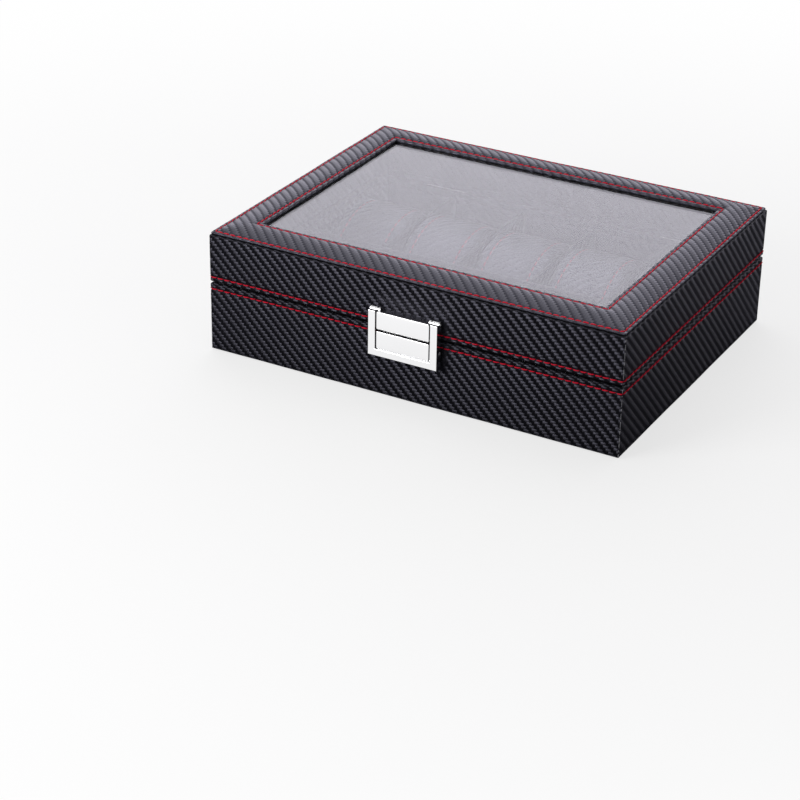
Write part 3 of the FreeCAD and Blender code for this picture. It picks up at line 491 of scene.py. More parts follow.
def sweep(path, hidden, corner_of, seams=(), unevenness=0.0, flat_map=False):
    """Runs a profile round the box: path is what shows, hidden what closes it behind.

    A seam is a stitch line and its groove. The map runs round the box, or lies flat, spread from the crown.
    """
    path = np.asarray(path, float)
    slope = unit(np.gradient(path, axis=0))
    lean = np.stack((-slope[:, 1], slope[:, 0]), 1)
    run = lengths(path)
    base, _ = ring(HALF_X, HALF_Y, box_corner(0))
    around = lengths(base, closed=True)
    grooves = []
    for (inset, height), (depth, width) in seams:
        mark = run[np.argmin(np.linalg.norm(path - (inset, height), axis=1))]
        grooves.append((mark, depth, width, hole_beat(inset, corner_of(inset))))
    crown = np.argmax(path[:, 1])
    rows = []
    maps = []
    for k, (inset, height) in enumerate(path):
        points, outward = ring(HALF_X - inset, HALF_Y - inset, corner_of(inset))
        push = unevenness * ripple(around[:-1], run[k], 1)
        for mark, depth, width, beat in grooves:
            away = (run[k] - mark) / width
            push = push - depth * math.exp(-away ** 2) * (GROOVE_SHARE + HOLE_SHARE * beat)
            push = push - PUCKER_SHARE * depth * math.exp(-(away / PUCKER_REACH) ** 2) * beat
        flat = points - outward * (lean[k, 0] * push)[:, None]
        rows.append(np.column_stack((flat, height + lean[k, 1] * push)))
        if flat_map:
            spread = path[crown, 0] + run[k] - run[crown]
            mapped, _ = ring(HALF_X - spread, HALF_Y - spread, corner_of(inset))
            maps.append(np.concatenate((mapped, mapped[:1])))
        else:
            maps.append(np.column_stack((around, np.full(len(around), run[k]))))
    for inset, height in hidden:
        points, _ = ring(HALF_X - inset, HALF_Y - inset, corner_of(inset))
        rows.append(np.column_stack((points, np.full(len(points), height))))
        maps.append(maps[-1])
    return np.array(rows), np.array(maps)


def edge_highlight_mask(points):
    """1 along the upright edges of the box, where a highlight is painted, and 0 elsewhere."""
    off_x = HALF_X - np.abs(points[..., 0])
    off_y = HALF_Y - np.abs(points[..., 1])
    return ((off_x < HIGHLIGHT_REACH) & (off_y < HIGHLIGHT_REACH)).astype(float)


def leaf_beds(points, level, side):
    """Lets the hinge leaves into a rim: side is 1 where the rim looks up and -1 where it looks down."""
    near = (np.abs(np.abs(points[..., 0]) - HINGE_X) < LEAF_HALF) & (points[..., 1] > LEAF_Y)
    proud = side * (points[..., 2] - level) > 0
    points[..., 2] = np.where(near & proud, level, points[..., 2])


# stitches

def sew(skin, line, lean, closed=False):
    """Stitches along a polyline: each an arched thread that dives into the leather at both ends."""
    run = lengths(line, closed)
    if closed:
        line = np.concatenate((line, line[:1]))
        lean = np.concatenate((lean, lean[:1]))
    count = round(run[-1] / STITCH_PITCH)
    pitch = run[-1] / count
    share = np.linspace(0, 1, THREAD_RINGS)
    place = pitch * (np.arange(count)[:, None] + STITCH_GAP / 2 + share * (1 - STITCH_GAP))

    def at(values):
        return np.stack([np.interp(place, run, values[:, axis]) for axis in range(3)], -1)

    middle = at(line)
    up = unit(at(lean))
    ahead = unit(np.gradient(middle, axis=1))
    side = unit(np.cross(up, ahead))
    arch = np.sin(math.pi * share) ** ARCH_POWER
    lift = STITCH_RISE * arch - STITCH_DIVE
    slant = STITCH_SLANT * (2 * share - 1)
    middle = middle + up * lift[:, None] + side * slant[:, None]
    thick = THREAD_RADIUS * (THREAD_END + (1 - THREAD_END) * arch)
    angles = 2 * math.pi * np.arange(THREAD_SIDES) / THREAD_SIDES
    turns = np.arange(THREAD_SIDES + 1) / THREAD_SIDES
    for stitch in range(count):
        wide = np.cos(angles)[None, :, None] * side[stitch][:, None, :]
        high = np.sin(angles)[None, :, None] * up[stitch][:, None, :]
        points = middle[stitch][:, None, :] - thick[:, None, None] * (wide - THREAD_FLATNESS * high)
        skin.tube(points, np.stack(np.meshgrid(turns, place[stitch]), -1))


def sew_ring(skin, stitch, corner, lean):
    """Stitches all round the box along a stitch line, looking the way that lean says."""
    inset, height = stitch
    out, up = lean
    points, outward = ring(HALF_X - inset, HALF_Y - inset, corner)
    line = np.column_stack((points, np.full(len(points), height)))
    sew(skin, line, np.column_stack((outward * out, np.full(len(points), up))), closed=True)


# materials

class Graph:
    """The nodes of a material, lamp or world. Most calls add one node and return its output."""

    def __init__(self, owner):
        self.owner = owner
        owner.use_nodes = True
        self.tree = owner.node_tree
        self.tree.nodes.clear()

    def node(self, kind, inputs=(), **settings):
        node = self.tree.nodes.new("ShaderNode" + kind)
        for key, value in settings.items():
            setattr(node, key, value)
        pairs = inputs.items() if isinstance(inputs, dict) else enumerate(inputs)
        for key, value in pairs:
            if isinstance(value, bpy.types.NodeSocket):
                self.tree.links.new(value, node.inputs[key])
            else:
                node.inputs[key].default_value = value
        return node

    def math(self, operation, *values):
        return self.node("Math", values, operation=operation).outputs[0]

    def vector(self, operation, *values):
        return self.node("VectorMath", values, operation=operation).outputs[0]

    def split(self, vector):
        return self.node("SeparateXYZ", [vector]).outputs[:2]

    def join(self, x, y, z):
        return self.node("CombineXYZ", [x, y, z]).outputs[0]

    def pick(self, share, low, high):
        return self.math("MULTIPLY_ADD", share, self.math("SUBTRACT", high, low), low)

    def colours(self, share, low, high):
        return self.node("Mix", {0: share, 6: low, 7: high}, data_type="RGBA").outputs[2]

    def noise(self, place, scale, detail=3.0):
        return self.node("TexNoise", {"Vector": place, "Scale": scale, "Detail": detail}).outputs[0]

    def object_place(self):
        return self.node("TexCoord").outputs["Object"]

    def weave_place(self):
        return self.node("UVMap", uv_map=WEAVE).outputs[0]

    def light_path(self):
        return self.node("LightPath").outputs

    def bump(self, height, strength, distance):
        return self.node("Bump", {"Height": height, "Strength": strength, "Distance": distance}).outputs[0]

    def finish(self, **inputs):
        """Ends a material in a Principled BSDF, whose inputs are named with underscores for spaces."""
        named = {key.replace("_", " "): value for key, value in inputs.items()}
        return self.output("Material", self.node("BsdfPrincipled", named))

    def output(self, kind, shader):
        self.node("Output" + kind, [shader.outputs[0]])
        return self.owner


def material_graph(name):
    return Graph(bpy.data.materials.new(name))


def grey(value, tint=0.0):
    return (value, value, value * (1 + tint), 1.0)


def twill_cells(g, place):
    """A point's place along and across its float, whether the float is sunk, and the place in its rib."""
    scaled = g.vector("MULTIPLY", place, (1 / TWILL_CELL, 1 / TWILL_CELL, 0))
    cell_x, cell_y = g.split(g.vector("FLOOR", scaled))
    part_x, part_y = g.split(g.vector("FRACTION", scaled))
    phase = g.math("FLOORED_MODULO", g.math("ADD", cell_x, cell_y), 2 * OVER)
    sunk = g.math("GREATER_THAN", phase, OVER - 0.5)
    second = g.math("MULTIPLY_ADD", sunk, -OVER, phase)
    along = g.math("SUBTRACT", g.math("ADD", second, g.pick(sunk, part_x, part_y)), OVER / 2)
    across = g.math("MULTIPLY_ADD", g.pick(sunk, part_y, part_x), 2.0, -1.0)
    slant = g.math("MULTIPLY_ADD", g.math("ADD", part_x, part_y), 0.5, phase)
    return along, across, sunk, slant


def twill_normal(g, place, cells, weave, depth):
    """The leather's normal, from how its floats and ribs lean."""
    along, across, sunk, slant = cells
    grain = g.math("SUBTRACT", g.noise(place, GRAIN_SCALE), 0.5)
    grain_along = g.math("MULTIPLY", grain, GRAIN_ALONG)
    grain_across = g.math("MULTIPLY", grain, GRAIN_ACROSS)
    lean_along = g.math("MULTIPLY_ADD", along, weave["arch"] * depth, grain_along)
    lean_across = g.math("MULTIPLY_ADD", across, weave["crown"] * depth, grain_across)
    tilt = weave["ridge"] * depth
    ridge = g.math("MULTIPLY_ADD", slant, tilt / OVER, -tilt)
    mean_x, mean_y = (
        g.pick(sunk, depth * raised, depth * low) for raised, low in zip(weave["raised"], weave["sunk"]))
    lean_x = g.math("ADD", g.math("ADD", g.pick(sunk, lean_along, lean_across), ridge), mean_x)
    lean_y = g.math("ADD", g.math("ADD", g.pick(sunk, lean_across, lean_along), ridge), mean_y)
    normal = g.vector("NORMALIZE", g.join(lean_x, lean_y, 1.0))
    packed = g.vector("MULTIPLY_ADD", normal, (0.5, 0.5, 0.5), (0.5, 0.5, 0.5))
    return g.node("NormalMap", {"Strength": 1.0, "Color": packed}, uv_map=WEAVE).outputs[0]


def twill(name, body, crest, roughness, weave, depth=1.0, specular=LEATHER_SPECULAR):
    """Leatherette embossed with a two-over-two twill, whose floats are worked out from the weave map."""
    g = material_graph(name)
    place = g.weave_place()
    cells = twill_cells(g, place)
    along, across, sunk, slant = cells
    # painted shade: crevices between floats and sunk floats are darkened in colour, where shade falls
    end, edge = (g.math("POWER", g.math("ABSOLUTE", part), CREVICE_POWER) for part in (along, across))
    crevice = g.math("MAXIMUM", end, edge)
    dull_and_shaded = g.math("MAXIMUM", crevice, g.math("MULTIPLY", sunk, weave["dull_and_shaded"]))
    scuff = g.noise(place, SCUFF_SCALE)
    shade = g.colours(scuff, grey(body, LEATHER_TINT), grey(crest, LEATHER_TINT))
    tone_with_painted_shade = g.colours(dull_and_shaded, shade, grey(body * CREVICE_SHADE))
    # painted highlight: lighter patches along the box's upright edges
    highlight_patches = g.math("GREATER_THAN", g.noise(place, HIGHLIGHT_SCALE, HIGHLIGHT_DETAIL), HIGHLIGHT_FROM)
    highlighted = g.math("MULTIPLY", g.node("Attribute", attribute_name=EDGE_HIGHLIGHT).outputs["Fac"], highlight_patches)
    scuffed = g.math("MULTIPLY_ADD", scuff, SCUFF_ROUGHNESS, roughness - SCUFF_ROUGHNESS / 2)
    rough = g.math("MULTIPLY_ADD", dull_and_shaded, DULL_ROUGHNESS, scuffed)
    fall = g.math("MAXIMUM", g.math("MULTIPLY_ADD", slant, -1 / CREASE_WIDTH, 1.0), 0.0)
    crease = g.math("MULTIPLY", fall, weave["crease"])
    return g.finish(
        Base_Color=g.colours(highlighted, tone_with_painted_shade, grey(HIGHLIGHT_GREY, HIGHLIGHT_TINT)),
        Roughness=g.math("MAXIMUM", rough, crease), Specular_IOR_Level=specular,
        Specular_Tint=LEATHER_GLOSS, Normal=twill_normal(g, place, cells, weave, depth))


def plain_leatherette():
    """Pebbled leatherette without a weave."""
    g = material_graph("lining")
    place = g.object_place()
    pebble = g.node("TexVoronoi", {"Vector": place, "Scale": 1300.0}).outputs["Distance"]
    shade = g.colours(g.noise(place, 30.0), grey(0.011), grey(0.017))
    return g.finish(
        Base_Color=shade, Roughness=0.55, Specular_IOR_Level=0.3, Normal=g.bump(pebble, 0.25, 0.0003))


def thread_material(name, low, high):
    """Red twisted thread, with its plies as slanting ridges and painted shade in the grooves between them.
    """
    g = material_graph(name)
    turn, run = g.split(g.weave_place())
    wound = g.math("MULTIPLY_ADD", run, PLY_ALONG, g.math("MULTIPLY", turn, PLY_ROUND))
    ply = g.math("ABSOLUTE", g.math("SINE", g.math("MULTIPLY", wound, math.pi)))
    return g.finish(
        # painted shade: the colour is darker in the grooves between plies
        Base_Color=g.colours(ply, low, high), Roughness=0.55, Specular_IOR_Level=0.12,
        Normal=g.bump(ply, 0.5, 0.00015))


def board_material(name, low, high, scale):
    """Matte board, foam or felt, with fibres or cells at a scale."""
    g = material_graph(name)
    fibres = g.noise(g.object_place(), scale, 8.0)
    return g.finish(
        Base_Color=g.colours(fibres, low, high), Roughness=0.85, Normal=g.bump(fibres, 0.3, 0.0004))


def brushed_metal(name, colour, roughness):
    """Brushed metal, with its marks along X."""
    marks = 0.2
    g = material_graph(name)
    lines = g.noise(g.vector("MULTIPLY", g.object_place(), (0.03, 1, 1)), 900.0, 4.0)
    return g.finish(
        Base_Color=colour, Metallic=1.0, Roughness=g.math("MULTIPLY_ADD", lines, marks, roughness),
        Normal=g.bump(lines, marks, 0.00005))


def chrome():
    """Polished plating with a faint unevenness."""
    g = material_graph("clasp_chrome")
    place = g.object_place()
    tone = g.colours(g.noise(place, 40.0), grey(0.96, 0.01), grey(0.98, 0.01))
    return g.finish(
        Base_Color=tone, Metallic=1.0, Roughness=0.0, Normal=g.bump(g.noise(place, 120.0), 0.02, 0.0005))


def window_material():
    """Clear glass that lets lamps through as plain light."""
    g = material_graph("window_glass")
    haze = g.noise(g.object_place(), 18.0)
    tint = g.colours(haze, (0.95, 0.965, 0.97, 1), (0.98, 0.985, 0.99, 1))
    glass = g.node("BsdfPrincipled", {
        "Base Color": tint, "Roughness": 0.0, "IOR": 1.5, "Transmission Weight": 1.0,
        "Specular Tint": (0.97, 0.96, 1.0, 1.0)})
    clear = g.node("BsdfTransparent", [(0.62, 0.63, 0.64, 1)])
    shadow = g.light_path()["Is Shadow Ray"]
    return g.output("Material", g.node("MixShader", [shadow, glass.outputs[0], clear.outputs[0]]))


materials = {
    "twill_leatherette": twill(
        "twill_leatherette", body=0.005, crest=0.009, roughness=0.32, weave=SIDE_WEAVE),
    "pillow_leatherette": twill(
        "pillow_leatherette", body=0.012, crest=0.020, roughness=0.36, weave=INNER_WEAVE,
        specular=PILLOW_SPECULAR),
    "divider_leatherette": twill(
        "divider_leatherette", body=0.004, crest=0.007, roughness=0.30, weave=INNER_WEAVE, depth=0.5,
        specular=DIVIDER_SPECULAR),
    "lining": twill("wall_lining", body=0.005, crest=0.008, roughness=0.40, weave=INNER_WEAVE),
    "red_thread": thread_material("red_thread", (0.50, 0.006, 0.022, 1), (0.80, 0.012, 0.042, 1)),
    "fibreboard": board_material("fibreboard", (0.30, 0.20, 0.12, 1), (0.52, 0.39, 0.26, 1), 220.0),
    "foam": board_material("foam", grey(0.22), grey(0.34), 600.0),
    "bottom_felt": board_material("bottom_felt", grey(0.008), grey(0.022), 900.0),
    "window_glass": window_material(),
    "clasp_chrome": chrome(),
    "hinge_steel": brushed_metal("hinge_steel", grey(0.58), 0.22),
    "spring_steel": brushed_metal("spring_steel", grey(0.46, 0.04), 0.45),
}
top_material = twill(
    "lid_top_leatherette", body=0.005, crest=0.009, roughness=0.32, weave=TOP_WEAVE, specular=TOP_SPECULAR)
# painted shade: a darker copy of the red thread for the pillows' seams, which lie in shade inside the box
pillow_thread_in_painted_shade = thread_material("pillow_thread_in_painted_shade", (0.24, 0.004, 0.010, 1), (0.38, 0.007, 0.018, 1))
card_material = plain_leatherette()
CARD_NODES = ("base_floor_lining", "lid_window_retainer")
slot_of = {entry["node"]: entry["material_slot"] for entry in frame["record"]["subparts"]}
for name, node in nodes.items():
    node.data.materials.clear()
    node.data.materials.append(card_material if name in CARD_NODES else materials[slot_of[name]])


# base and lid covers

def side_cover(name, body, replaced, path, hidden, stitch, bed, side):
    """The leather round the box's sides, with a seam, painted edge highlights and the hinge leaves' beds in
    its rim.
    """
    points, mapped = sweep(path, hidden, box_corner, [(stitch, SIDE_GROOVE)], SIDE_UNEVEN)
    leaf_beds(points, bed, side)
    skin = hoop(points, mapped)
    # where a highlight is painted along the upright edges
    skin.painted_highlight = edge_highlight_mask(points)
    add_piece(name, skin, body, "twill_leatherette", [replaced])


def base_cover():
    turn_end = BASE_RIM - TURN_IN
    rim_back = BASE_RIM - RIM_DEPTH
    foot_back = FOOT + FOOT_DEPTH
    low, high = BASE_BAND
    path = profile(
        (FOOT_TURN, FOOT, 0, 4.0), (0.0, FOOT, FOOT_ROLL, 5.0), (0.0, low, 0, 0.3), (0.0, high, 0, 0.4),
        (0.0, BASE_RIM, RIM_ROLL, 1.5), (RIM_INSET, BASE_RIM, RIM_ROLL, 0.8), (RIM_INSET, turn_end, 0, 0.5))
    hidden = (
        (BOARD_BACK, turn_end), (BOARD_BACK, rim_back), (BOARD_FRONT, rim_back), (BOARD_FRONT, foot_back),
        (FOOT_TURN, foot_back))
    side_cover(
        "base_cover", "base", "base_leather_wrap", path, hidden, BASE_STITCH, BASE_RIM - LEAF_DEPTH, 1)


def lid_side_cover():
    turn_end = LID_RIM + TURN_IN
    rim_back = LID_RIM + RIM_DEPTH
    tuck_inset, tuck_height = TUCK_END
    low, high = LID_BAND
    path = profile(
        (RIM_INSET, turn_end, 0, 0.8), (RIM_INSET, LID_RIM, RIM_ROLL, 1.5), (0.0, LID_RIM, RIM_ROLL, 0.4),
        (0.0, low, 0, 0.3), (0.0, high, 0, 5.0), (0.0, LID_TOP, TOP_ROLL, 0.5), (*TUCK_START, 0, 0.5),
        (*TUCK_END, 0, 0.5))
    hidden = (
        (tuck_inset, tuck_height - TUCK_DEPTH), (BOARD_FRONT, LID_TOP - TOP_DEPTH), (BOARD_FRONT, rim_back),
        (BOARD_BACK, rim_back), (BOARD_BACK, turn_end))
    side_cover(
        "lid_side_cover", "lid", "lid_side_leather", path, hidden, LID_STITCH, LID_RIM + LEAF_DEPTH, -1)


def lid_top_cover():
    path = np.concatenate((profile(*PAD_EDGE), curve(PAD_SWELL, PAD_STEP), profile(*PAD_LIP)))
    seams = [(OUTER_STITCH, PAD_GROOVE), (INNER_STITCH, PAD_GROOVE)]
    points, mapped = sweep(path, PAD_BACK, pad_corner, seams, PAD_UNEVEN, flat_map=True)
    add_piece(
        "lid_top_cover", hoop(points, mapped), "lid", "twill_leatherette",
        ["lid_top_leather", "lid_frame_padding"], top_material)


def wall_lining(name, body, high, low):
    path = profile((LINING_INSET, high, 0, 3.0), (LINING_INSET, low, 0, 3.0))
    hidden = ((BOARD_BACK, low), (BOARD_BACK, high))
    points, mapped = sweep(path, hidden, box_corner, unevenness=LINING_UNEVEN)
    add_piece(f"{name}_cloth", hoop(points, mapped), body, "lining", [name])


def stitching():
    skin = Skin()
    sew_ring(skin, BASE_STITCH, box_corner(0), SIDE_LEAN)
    add_piece("base_stitching", skin, "base", "red_thread")
    skin = Skin()
    sew_ring(skin, LID_STITCH, box_corner(0), SIDE_LEAN)
    sew_ring(skin, OUTER_STITCH, pad_corner(OUTER_STITCH[0]), OUTER_LEAN)
    sew_ring(skin, INNER_STITCH, pad_corner(INNER_STITCH[0]), INNER_LEAN)
    add_piece("lid_stitching", skin, "lid", "red_thread")


# clasp

def plate_face(name, body, low, high, rear):
    """A domed chrome face on the front of a clasp plate, from height low to high."""
    rows = []
    for inset, front in ((0.0, rear), *FACE_EDGE):
        half_x = FACE_HALF - inset
        half_z = (high - low) / 2 - inset
        outline = []
        for quarter, (side_x, side_z) in enumerate(((1, -1), (1, 1), (-1, 1), (-1, -1))):
            for angle in np.radians(90 * (quarter - 1) + np.linspace(0, 90, FACE_CORNER_STEPS)):
                outline.append((
                    side_x * (half_x - FACE_CORNER) + FACE_CORNER * math.cos(angle), front,
                    (low + high) / 2 + side_z * (half_z - FACE_CORNER) + FACE_CORNER * math.sin(angle)))
        rows.append(outline)
    points = np.array(rows)
    closed = np.concatenate((points, points[:, :1]), axis=1)
    skin = Skin()
    skin.tube(points, closed[..., ::2])
    add_piece(name, skin, body, "clasp_chrome")


# dividers

def strip(skin, start, end):
    """A leather-wrapped board on edge from start to end, in plan, with a rounded top."""
    start = np.array((*start, 0.0))
    end = np.array((*end, 0.0))
    up = np.array((0, 0, 1.0))
    ahead = unit(end - start)
    side = np.cross(up, ahead)
    half = profile(
        (DIVIDER_HALF, FLOOR + OFF_BOARD, 0, 3.0), (DIVIDER_HALF, DIVIDER_TOP, DIVIDER_ROUND, 0.6),
        (0, DIVIDER_TOP, 0, 1))
    outline = np.concatenate((half, half[-2::-1] * (-1, 1)))
    offset, level = outline.T
    run = lengths(outline, closed=True)
    length = np.linalg.norm(end - start)
    rows = []
    maps = []
    for station in np.linspace(0, length, max(2, round(length / DIVIDER_STEP))):
        place = start + ahead * station
        sway = SWAY * math.sin(station / SWAY_LENGTH + place[0] / SWAY_SHIFT)
        uneven = np.abs(ripple(station, level + place[0], 2))
        across = offset * (1 - WRAP_THINNING * uneven) + sway * (level / DIVIDER_TOP)
        height = level - WRAP_SINKING * uneven * (level > DIVIDER_TOP - WRAP_CREST)
        rows.append(place + across[:, None] * side + height[:, None] * up)
        maps.append(np.column_stack((np.full(len(run), station), run)))
    skin.tube(np.array(rows), np.array(maps), end_map=outline)


def dividers():
    reach_x = INSIDE_X - DIVIDER_PLAY
    reach_y = INSIDE_Y - DIVIDER_PLAY
    skin = Skin()
    strip(skin, (-reach_x, 0), (reach_x, 0))
    add_piece("long_divider_wrap", skin, "base", "divider_leatherette", ["long_divider"])
    for number in range(1, COLUMNS):
        x = (number - COLUMNS / 2) * COLUMN_PITCH
        skin = Skin()
        strip(skin, (x, -reach_y), (x, -DIVIDER_HALF))
        strip(skin, (x, DIVIDER_HALF), (x, reach_y))
        add_piece(
            f"cross_divider_{number}_wrap", skin, "base", "divider_leatherette", [f"cross_divider_{number}"])


# pillows

def pillow_outline(draw):
    """Points (y, z) round a pillow seen from its side, from the front of its flat foot, drawn in by draw."""
    half = PILLOW_HALF_Y - draw
    tall = PILLOW_HEIGHT - 2 * draw
    foot = PILLOW_FLAT * half
    waist = PILLOW_WAIST * tall
    corner = ((half - foot) ** 2 + waist ** 2) / (2 * waist)
    crown = (half ** 2 + (tall - waist) ** 2) / (2 * (tall - waist))
    line = [(-foot + 2 * foot * share, 0.0) for share in np.linspace(0, 1, FOOT_POINTS)]
    swing = math.asin(min(1, (half - foot) / corner))
    for angle in np.linspace(0, swing, SIDE_POINTS)[1:]:
        line.append((foot + corner * math.sin(angle), corner * (1 - math.cos(angle))))
    reach = math.atan2(half, waist - tall + crown)
    for angle in np.linspace(reach, -reach, CROWN_POINTS)[1:]:
        line.append((crown * math.sin(angle), tall - crown + crown * math.cos(angle)))
    for angle in np.linspace(swing, 0, SIDE_POINTS)[1:-1]:
        line.append((-foot - corner * math.sin(angle), corner * (1 - math.cos(angle))))
    line = np.array(line)
    run = lengths(line, closed=True)
    closed = np.concatenate((line, line[:1]))
    places = np.linspace(0, run[-1], PILLOW_AROUND, endpoint=False)
    points = np.column_stack([np.interp(places, run, closed[:, axis]) for axis in (0, 1)])
    return points + (0, draw)


def pillow_grid():
    """Rows of points from the left end's middle, over the body, to the right end's, and the seams' rows."""
    seam = PILLOW_HALF_X - PILLOW_SEAM
    # how far the outline is drawn in, by the inset from an end
    drawn = np.array((
        (0.0, 3.2), (0.5, 2.0), (1.4, 1.0), (END_ZONE, 0.35), (seam - 1.3, 0.25), (seam, 0.85),
        (seam + 1.3, 0.25), (seam + 4.0, 0.0), (PILLOW_HALF_X, 0.0)))
    near_end = np.linspace(0, END_ZONE, END_STATIONS)
    over_body = np.linspace(END_ZONE, PILLOW_HALF_X, BODY_STATIONS)
    insets = np.unique(np.concatenate((drawn[:, 0], near_end, over_body)))
    left = list(zip(insets - PILLOW_HALF_X, np.interp(insets, drawn[:, 0], drawn[:, 1])))
    stations = left + [(-x, draw) for x, draw in left[-2::-1]]
    body = [np.column_stack((np.full(PILLOW_AROUND, x), pillow_outline(draw))) for x, draw in stations]
    ends = []
    for rim in (body[0], body[-1]):
        x = rim[0, 0]
        dome = math.copysign(END_DOME, x)
        hub = np.array((x, 0, PILLOW_HEIGHT / 2))
        ends.append([hub + (rim - hub) * share + (dome * (1 - share ** 2), 0, 0) for share in END_SHARES])
    rows = np.array(ends[0] + body + ends[1][::-1])
    seam_rows = [END_ROWS + k for k, (x, _) in enumerate(stations) if math.isclose(abs(x), PILLOW_SEAM)]
    return rows, seam_rows


def swell(points, pinned):
    """A cloth simulation: pressure swells the pillow's cover between the pinned seams."""
    rows, columns = points.shape[:2]
    skin = Skin()
    skin.tube(points, np.zeros((rows, columns + 1, 2)))
    mesh = skin.mesh("swelling")
    mesh.transform(Matrix.Scale(CLOTH_SCALE, 4))
    cover = bpy.data.objects.new("swelling", mesh)
    scene.collection.objects.link(cover)
    group = cover.vertex_groups.new(name=CLOTH_PINS)
    group.add([int(index) for index in np.flatnonzero(pinned.ravel())], 1.0, "REPLACE")
    cloth = cover.modifiers.new("swell", "CLOTH")
    for key, value in CLOTH_SETTINGS.items():
        setattr(cloth.settings, key, value)
    cloth.settings.effector_weights.gravity = 0
    cloth.collision_settings.use_collision = False
    cloth.point_cache.frame_start = 1
    cloth.point_cache.frame_end = CLOTH_FRAMES
    for number in range(1, CLOTH_FRAMES + 1):
        scene.frame_set(number)
    swollen = cover.evaluated_get(bpy.context.evaluated_depsgraph_get())
    found = np.zeros(rows * columns * 3, np.float32)
    swollen.data.vertices.foreach_get("co", found)
    bpy.data.objects.remove(cover)
    bpy.data.meshes.remove(mesh)
    scene.frame_set(1)
    moved = found.reshape(rows, columns, 3) / (CLOTH_SCALE * MM) - points
    far = np.linalg.norm(moved, axis=2, keepdims=True)
    return points + moved * np.minimum(1, PILLOW_SWELL / np.maximum(far, 1e-9))


def pillow_form():
    """A pillow's rows of points, about the middle of its foot, and which of them are the seams."""
    points, seam_rows = pillow_grid()
    pinned = points[..., 2] < PINNED_BELOW
    pinned[[*seam_rows, END_ROWS, len(points) - 1 - END_ROWS]] = True
    points = swell(points, pinned)
    points[..., 2] = np.maximum(points[..., 2], 0.0)
    widest = PILLOW_HALF_X + PILLOW_BULGE
    points[..., 0] = np.clip(points[..., 0], -widest, widest)
    return points, seam_rows


def pillow_maps(points):
    """Maps for both sides of the faces after each row: round the body, and flat on the ends."""
    rows = len(points)
    around = lengths(points[rows // 2], closed=True)
    spread = np.concatenate((points, points[:, :1]), axis=1)
    body_map = np.stack((spread[..., 0], np.broadcast_to(around, spread.shape[:2])), -1)
    end_map = spread[..., 1:]
    at_end = np.zeros((rows, 1, 1), bool)
    at_end[:END_ROWS] = True
    at_end[rows - 1 - END_ROWS:] = True
    near_map = np.where(at_end, end_map, body_map)
    far_map = np.concatenate((np.where(at_end[:-1], end_map[1:], body_map[1:]), end_map[-1:]))
    return near_map, far_map


def place_pillow(points, number, x, y):
    """One pillow's points in the box, a little uneven and turned in a way of its own."""
    shift_x, shift_y = UNEVEN_SHIFT
    uneven = PILLOW_UNEVEN * ripple(
        points[..., 0] * UNEVEN_STRETCH + shift_x * number, points[..., 1] + shift_y * number, number)
    uneven = uneven * np.clip(points[..., 2] / UNEVEN_FADE, 0, 1)
    turn = PILLOW_TURN * math.sin(TURN_SHIFT * number)
    turned = np.array(Matrix.Rotation(turn, 3, "Z"))
    return points * (1 + uneven[..., None] / UNEVEN_REACH) @ turned.T + (x, y, PILLOW_LOW)


def pillow_seams(points, seam_rows, shown):
    """The stitches over a pillow, along the part of each seam that shows."""
    skin = Skin()
    for seam in seam_rows:
        ahead = np.roll(points[seam], -1, 0) - np.roll(points[seam], 1, 0)
        beside = points[seam + 1] - points[seam - 1]
        lean = unit(np.cross(ahead, beside))
        sew(skin, points[seam][shown[seam]], lean[shown[seam]])
    return skin


def pillows():
    form, seam_rows = pillow_form()
    near_map, far_map = pillow_maps(form)
    shown = form[..., 2] > SEWN_ABOVE
    for row in range(ROWS):
        for column in range(COLUMNS):
            number = row * COLUMNS + column + 1
            x = (column - (COLUMNS - 1) / 2) * COLUMN_PITCH
            y = (row - (ROWS - 1) / 2) * ROW_PITCH
            points = place_pillow(form, number, x, y)
            skin = Skin()
            skin.tube(points, near_map, far_map)
            add_piece(
                f"pillow_{number}_cushion", skin, f"pillow_{number}", "pillow_leatherette",
                [f"pillow_{number}_cover", f"pillow_{number}_core"])
            add_piece(
                f"pillow_{number}_stitching", pillow_seams(points, seam_rows, shown), f"pillow_{number}",
                "red_thread", material=pillow_thread_in_painted_shade)


# stage

def add_camera():
    data = bpy.data.cameras.new("camera")
    data.sensor_width = SENSOR
    data.lens = SENSOR * FOCAL_PIXELS / PHOTO_PIXELS
    camera = bpy.data.objects.new("camera", data)
    flat = math.cos(CAMERA_PITCH)
    ahead = Vector((-math.sin(CAMERA_YAW) * flat, math.cos(CAMERA_YAW) * flat, -math.sin(CAMERA_PITCH)))
    level = ahead.cross(Vector((0, 0, 1))).normalized()
    rise = level.cross(ahead)
    right = math.cos(CAMERA_ROLL) * level + math.sin(CAMERA_ROLL) * rise
    up = math.cos(CAMERA_ROLL) * rise - math.sin(CAMERA_ROLL) * level
    turned = Matrix((right, up, -ahead)).transposed().to_4x4()
    camera.matrix_world = Matrix.Translation(CAMERA_PLACE) @ turned
    scene.collection.objects.link(camera)
    scene.camera = camera


def softbox(name, place, aim, width, height, radiance, colour=(1, 1, 1), mirrored=True):
    """A lamp with its face at a radiance. Polished metal and glass show no image of one not mirrored."""
    data = bpy.data.lights.new(name, "AREA")
    data.shape = "RECTANGLE"
    data.size = width
    data.size_y = height
    data.color = colour
    data.energy = radiance * math.pi * width * height
    if not mirrored:
        g = Graph(data)
        strength = g.math("SUBTRACT", 1.0, g.light_path()["Is Singular Ray"])
        g.output("Light", g.node("Emission", [grey(1.0), strength]))
    lamp = bpy.data.objects.new(name, data)
    lamp.location = place
    lamp.rotation_euler = (Vector(aim) - Vector(place)).to_track_quat("-Z", "Y").to_euler()
    lamp.visible_camera = False
    scene.collection.objects.link(lamp)


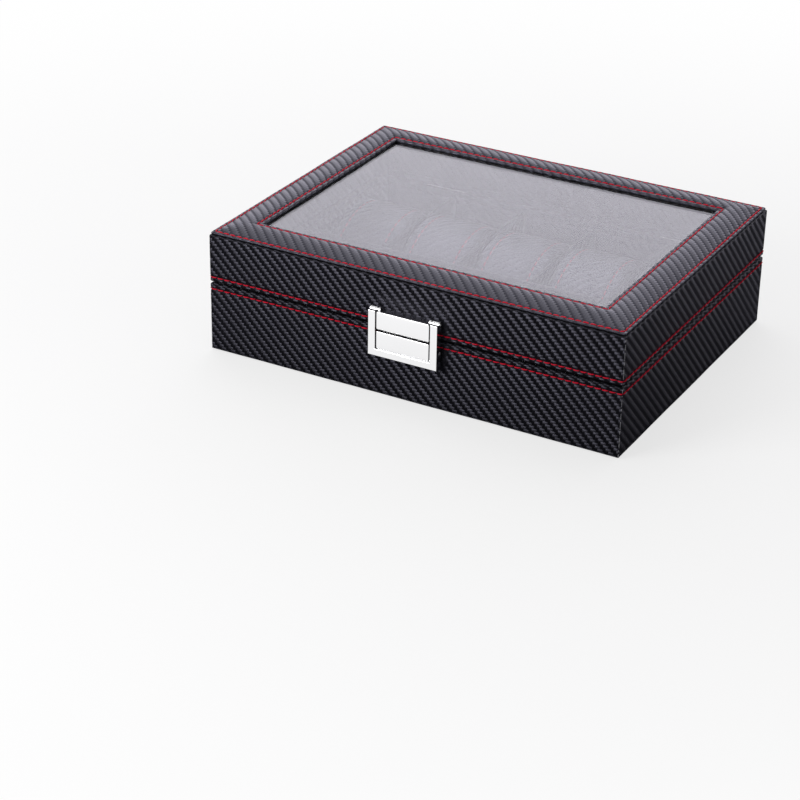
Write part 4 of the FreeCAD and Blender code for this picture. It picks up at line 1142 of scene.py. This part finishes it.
def floor_material():
    """Pale cloth that glows to white away from the box, and throws little light back on it."""
    g = material_graph("floor")
    tone = g.noise(g.object_place(), 6.0)
    pale = g.colours(tone, grey(0.88), grey(0.90))
    white = g.node("Emission", [grey(1.0), 1.0])
    paths = g.light_path()
    shown = g.math("MAXIMUM", paths["Is Camera Ray"], paths["Is Singular Ray"])
    cloth = g.node("BsdfDiffuse", [g.colours(shown, grey(FLOOR_BOUNCE, 0.2), pale)])
    away = g.node("VectorMath", [g.object_place()], operation="LENGTH").outputs["Value"]
    glow = g.node(
        "MapRange", [away, GLOW_NEAR, GLOW_FAR, FLOOR_GLOW, 1.0], interpolation_type="SMOOTHSTEP").outputs[0]
    seen = g.math("MULTIPLY", shown, glow)
    return g.output("Material", g.node("MixShader", [seen, cloth.outputs[0], white.outputs[0]]))


def add_floor():
    mesh = bpy.data.meshes.new("floor")
    sides = ((-1, -1), (1, -1), (1, 1), (-1, 1))
    corners = [(x * FLOOR_REACH, y * FLOOR_REACH, FLOOR_LEVEL) for x, y in sides]
    mesh.from_pydata(corners, [], [(0, 1, 2, 3)])
    mesh.materials.append(floor_material())
    floor = bpy.data.objects.new("floor", mesh)
    scene.collection.objects.link(floor)


def add_world():
    """White where it is seen, also straight through glass with no reflection on the way, dim as light."""
    g = Graph(bpy.data.worlds.new("studio"))
    paths = g.light_path()
    straight = g.math("GREATER_THAN", paths["Is Transmission Ray"], paths["Glossy Depth"])
    shown = g.math("MAXIMUM", paths["Is Camera Ray"], straight)
    strength = g.node("MapRange", {"Value": shown, "To Min": AMBIENT, "To Max": 1.0}).outputs[0]
    scene.world = g.output("World", g.node("Background", {"Color": grey(1.0), "Strength": strength}))


base_cover()
lid_side_cover()
lid_top_cover()
wall_lining("base_wall_lining", "base", *BASE_LINING)
wall_lining("lid_wall_lining", "lid", *LID_LINING)
stitching()
plate_face("clasp_catch_face", "base", *CATCH_FACE)
plate_face("clasp_hinge_face", "lid", *HINGE_FACE)
dividers()
pillows()
add_camera()
add_floor()
add_world()
softbox("rear_softbox", (-0.75, 1.6, 0.62), (0, 0, 0.06), 3.0, 1.25, 1.48, COOL)
softbox("side_softbox", (0.95, 1.25, 0.32), (0.1, 0, 0.04), 0.6, 0.5, 2.0, COOL)
softbox("top_softbox", (-0.5, 0.6, 1.45), (0, 0, 0.04), 1.6, 1.6, 1.0)
softbox("front_softbox", (-0.45, -0.80, 0.47), (-0.05, -0.1, 0.05), 0.5, 0.36, 8.0, mirrored=False)
scene.view_settings.view_transform = "Standard"
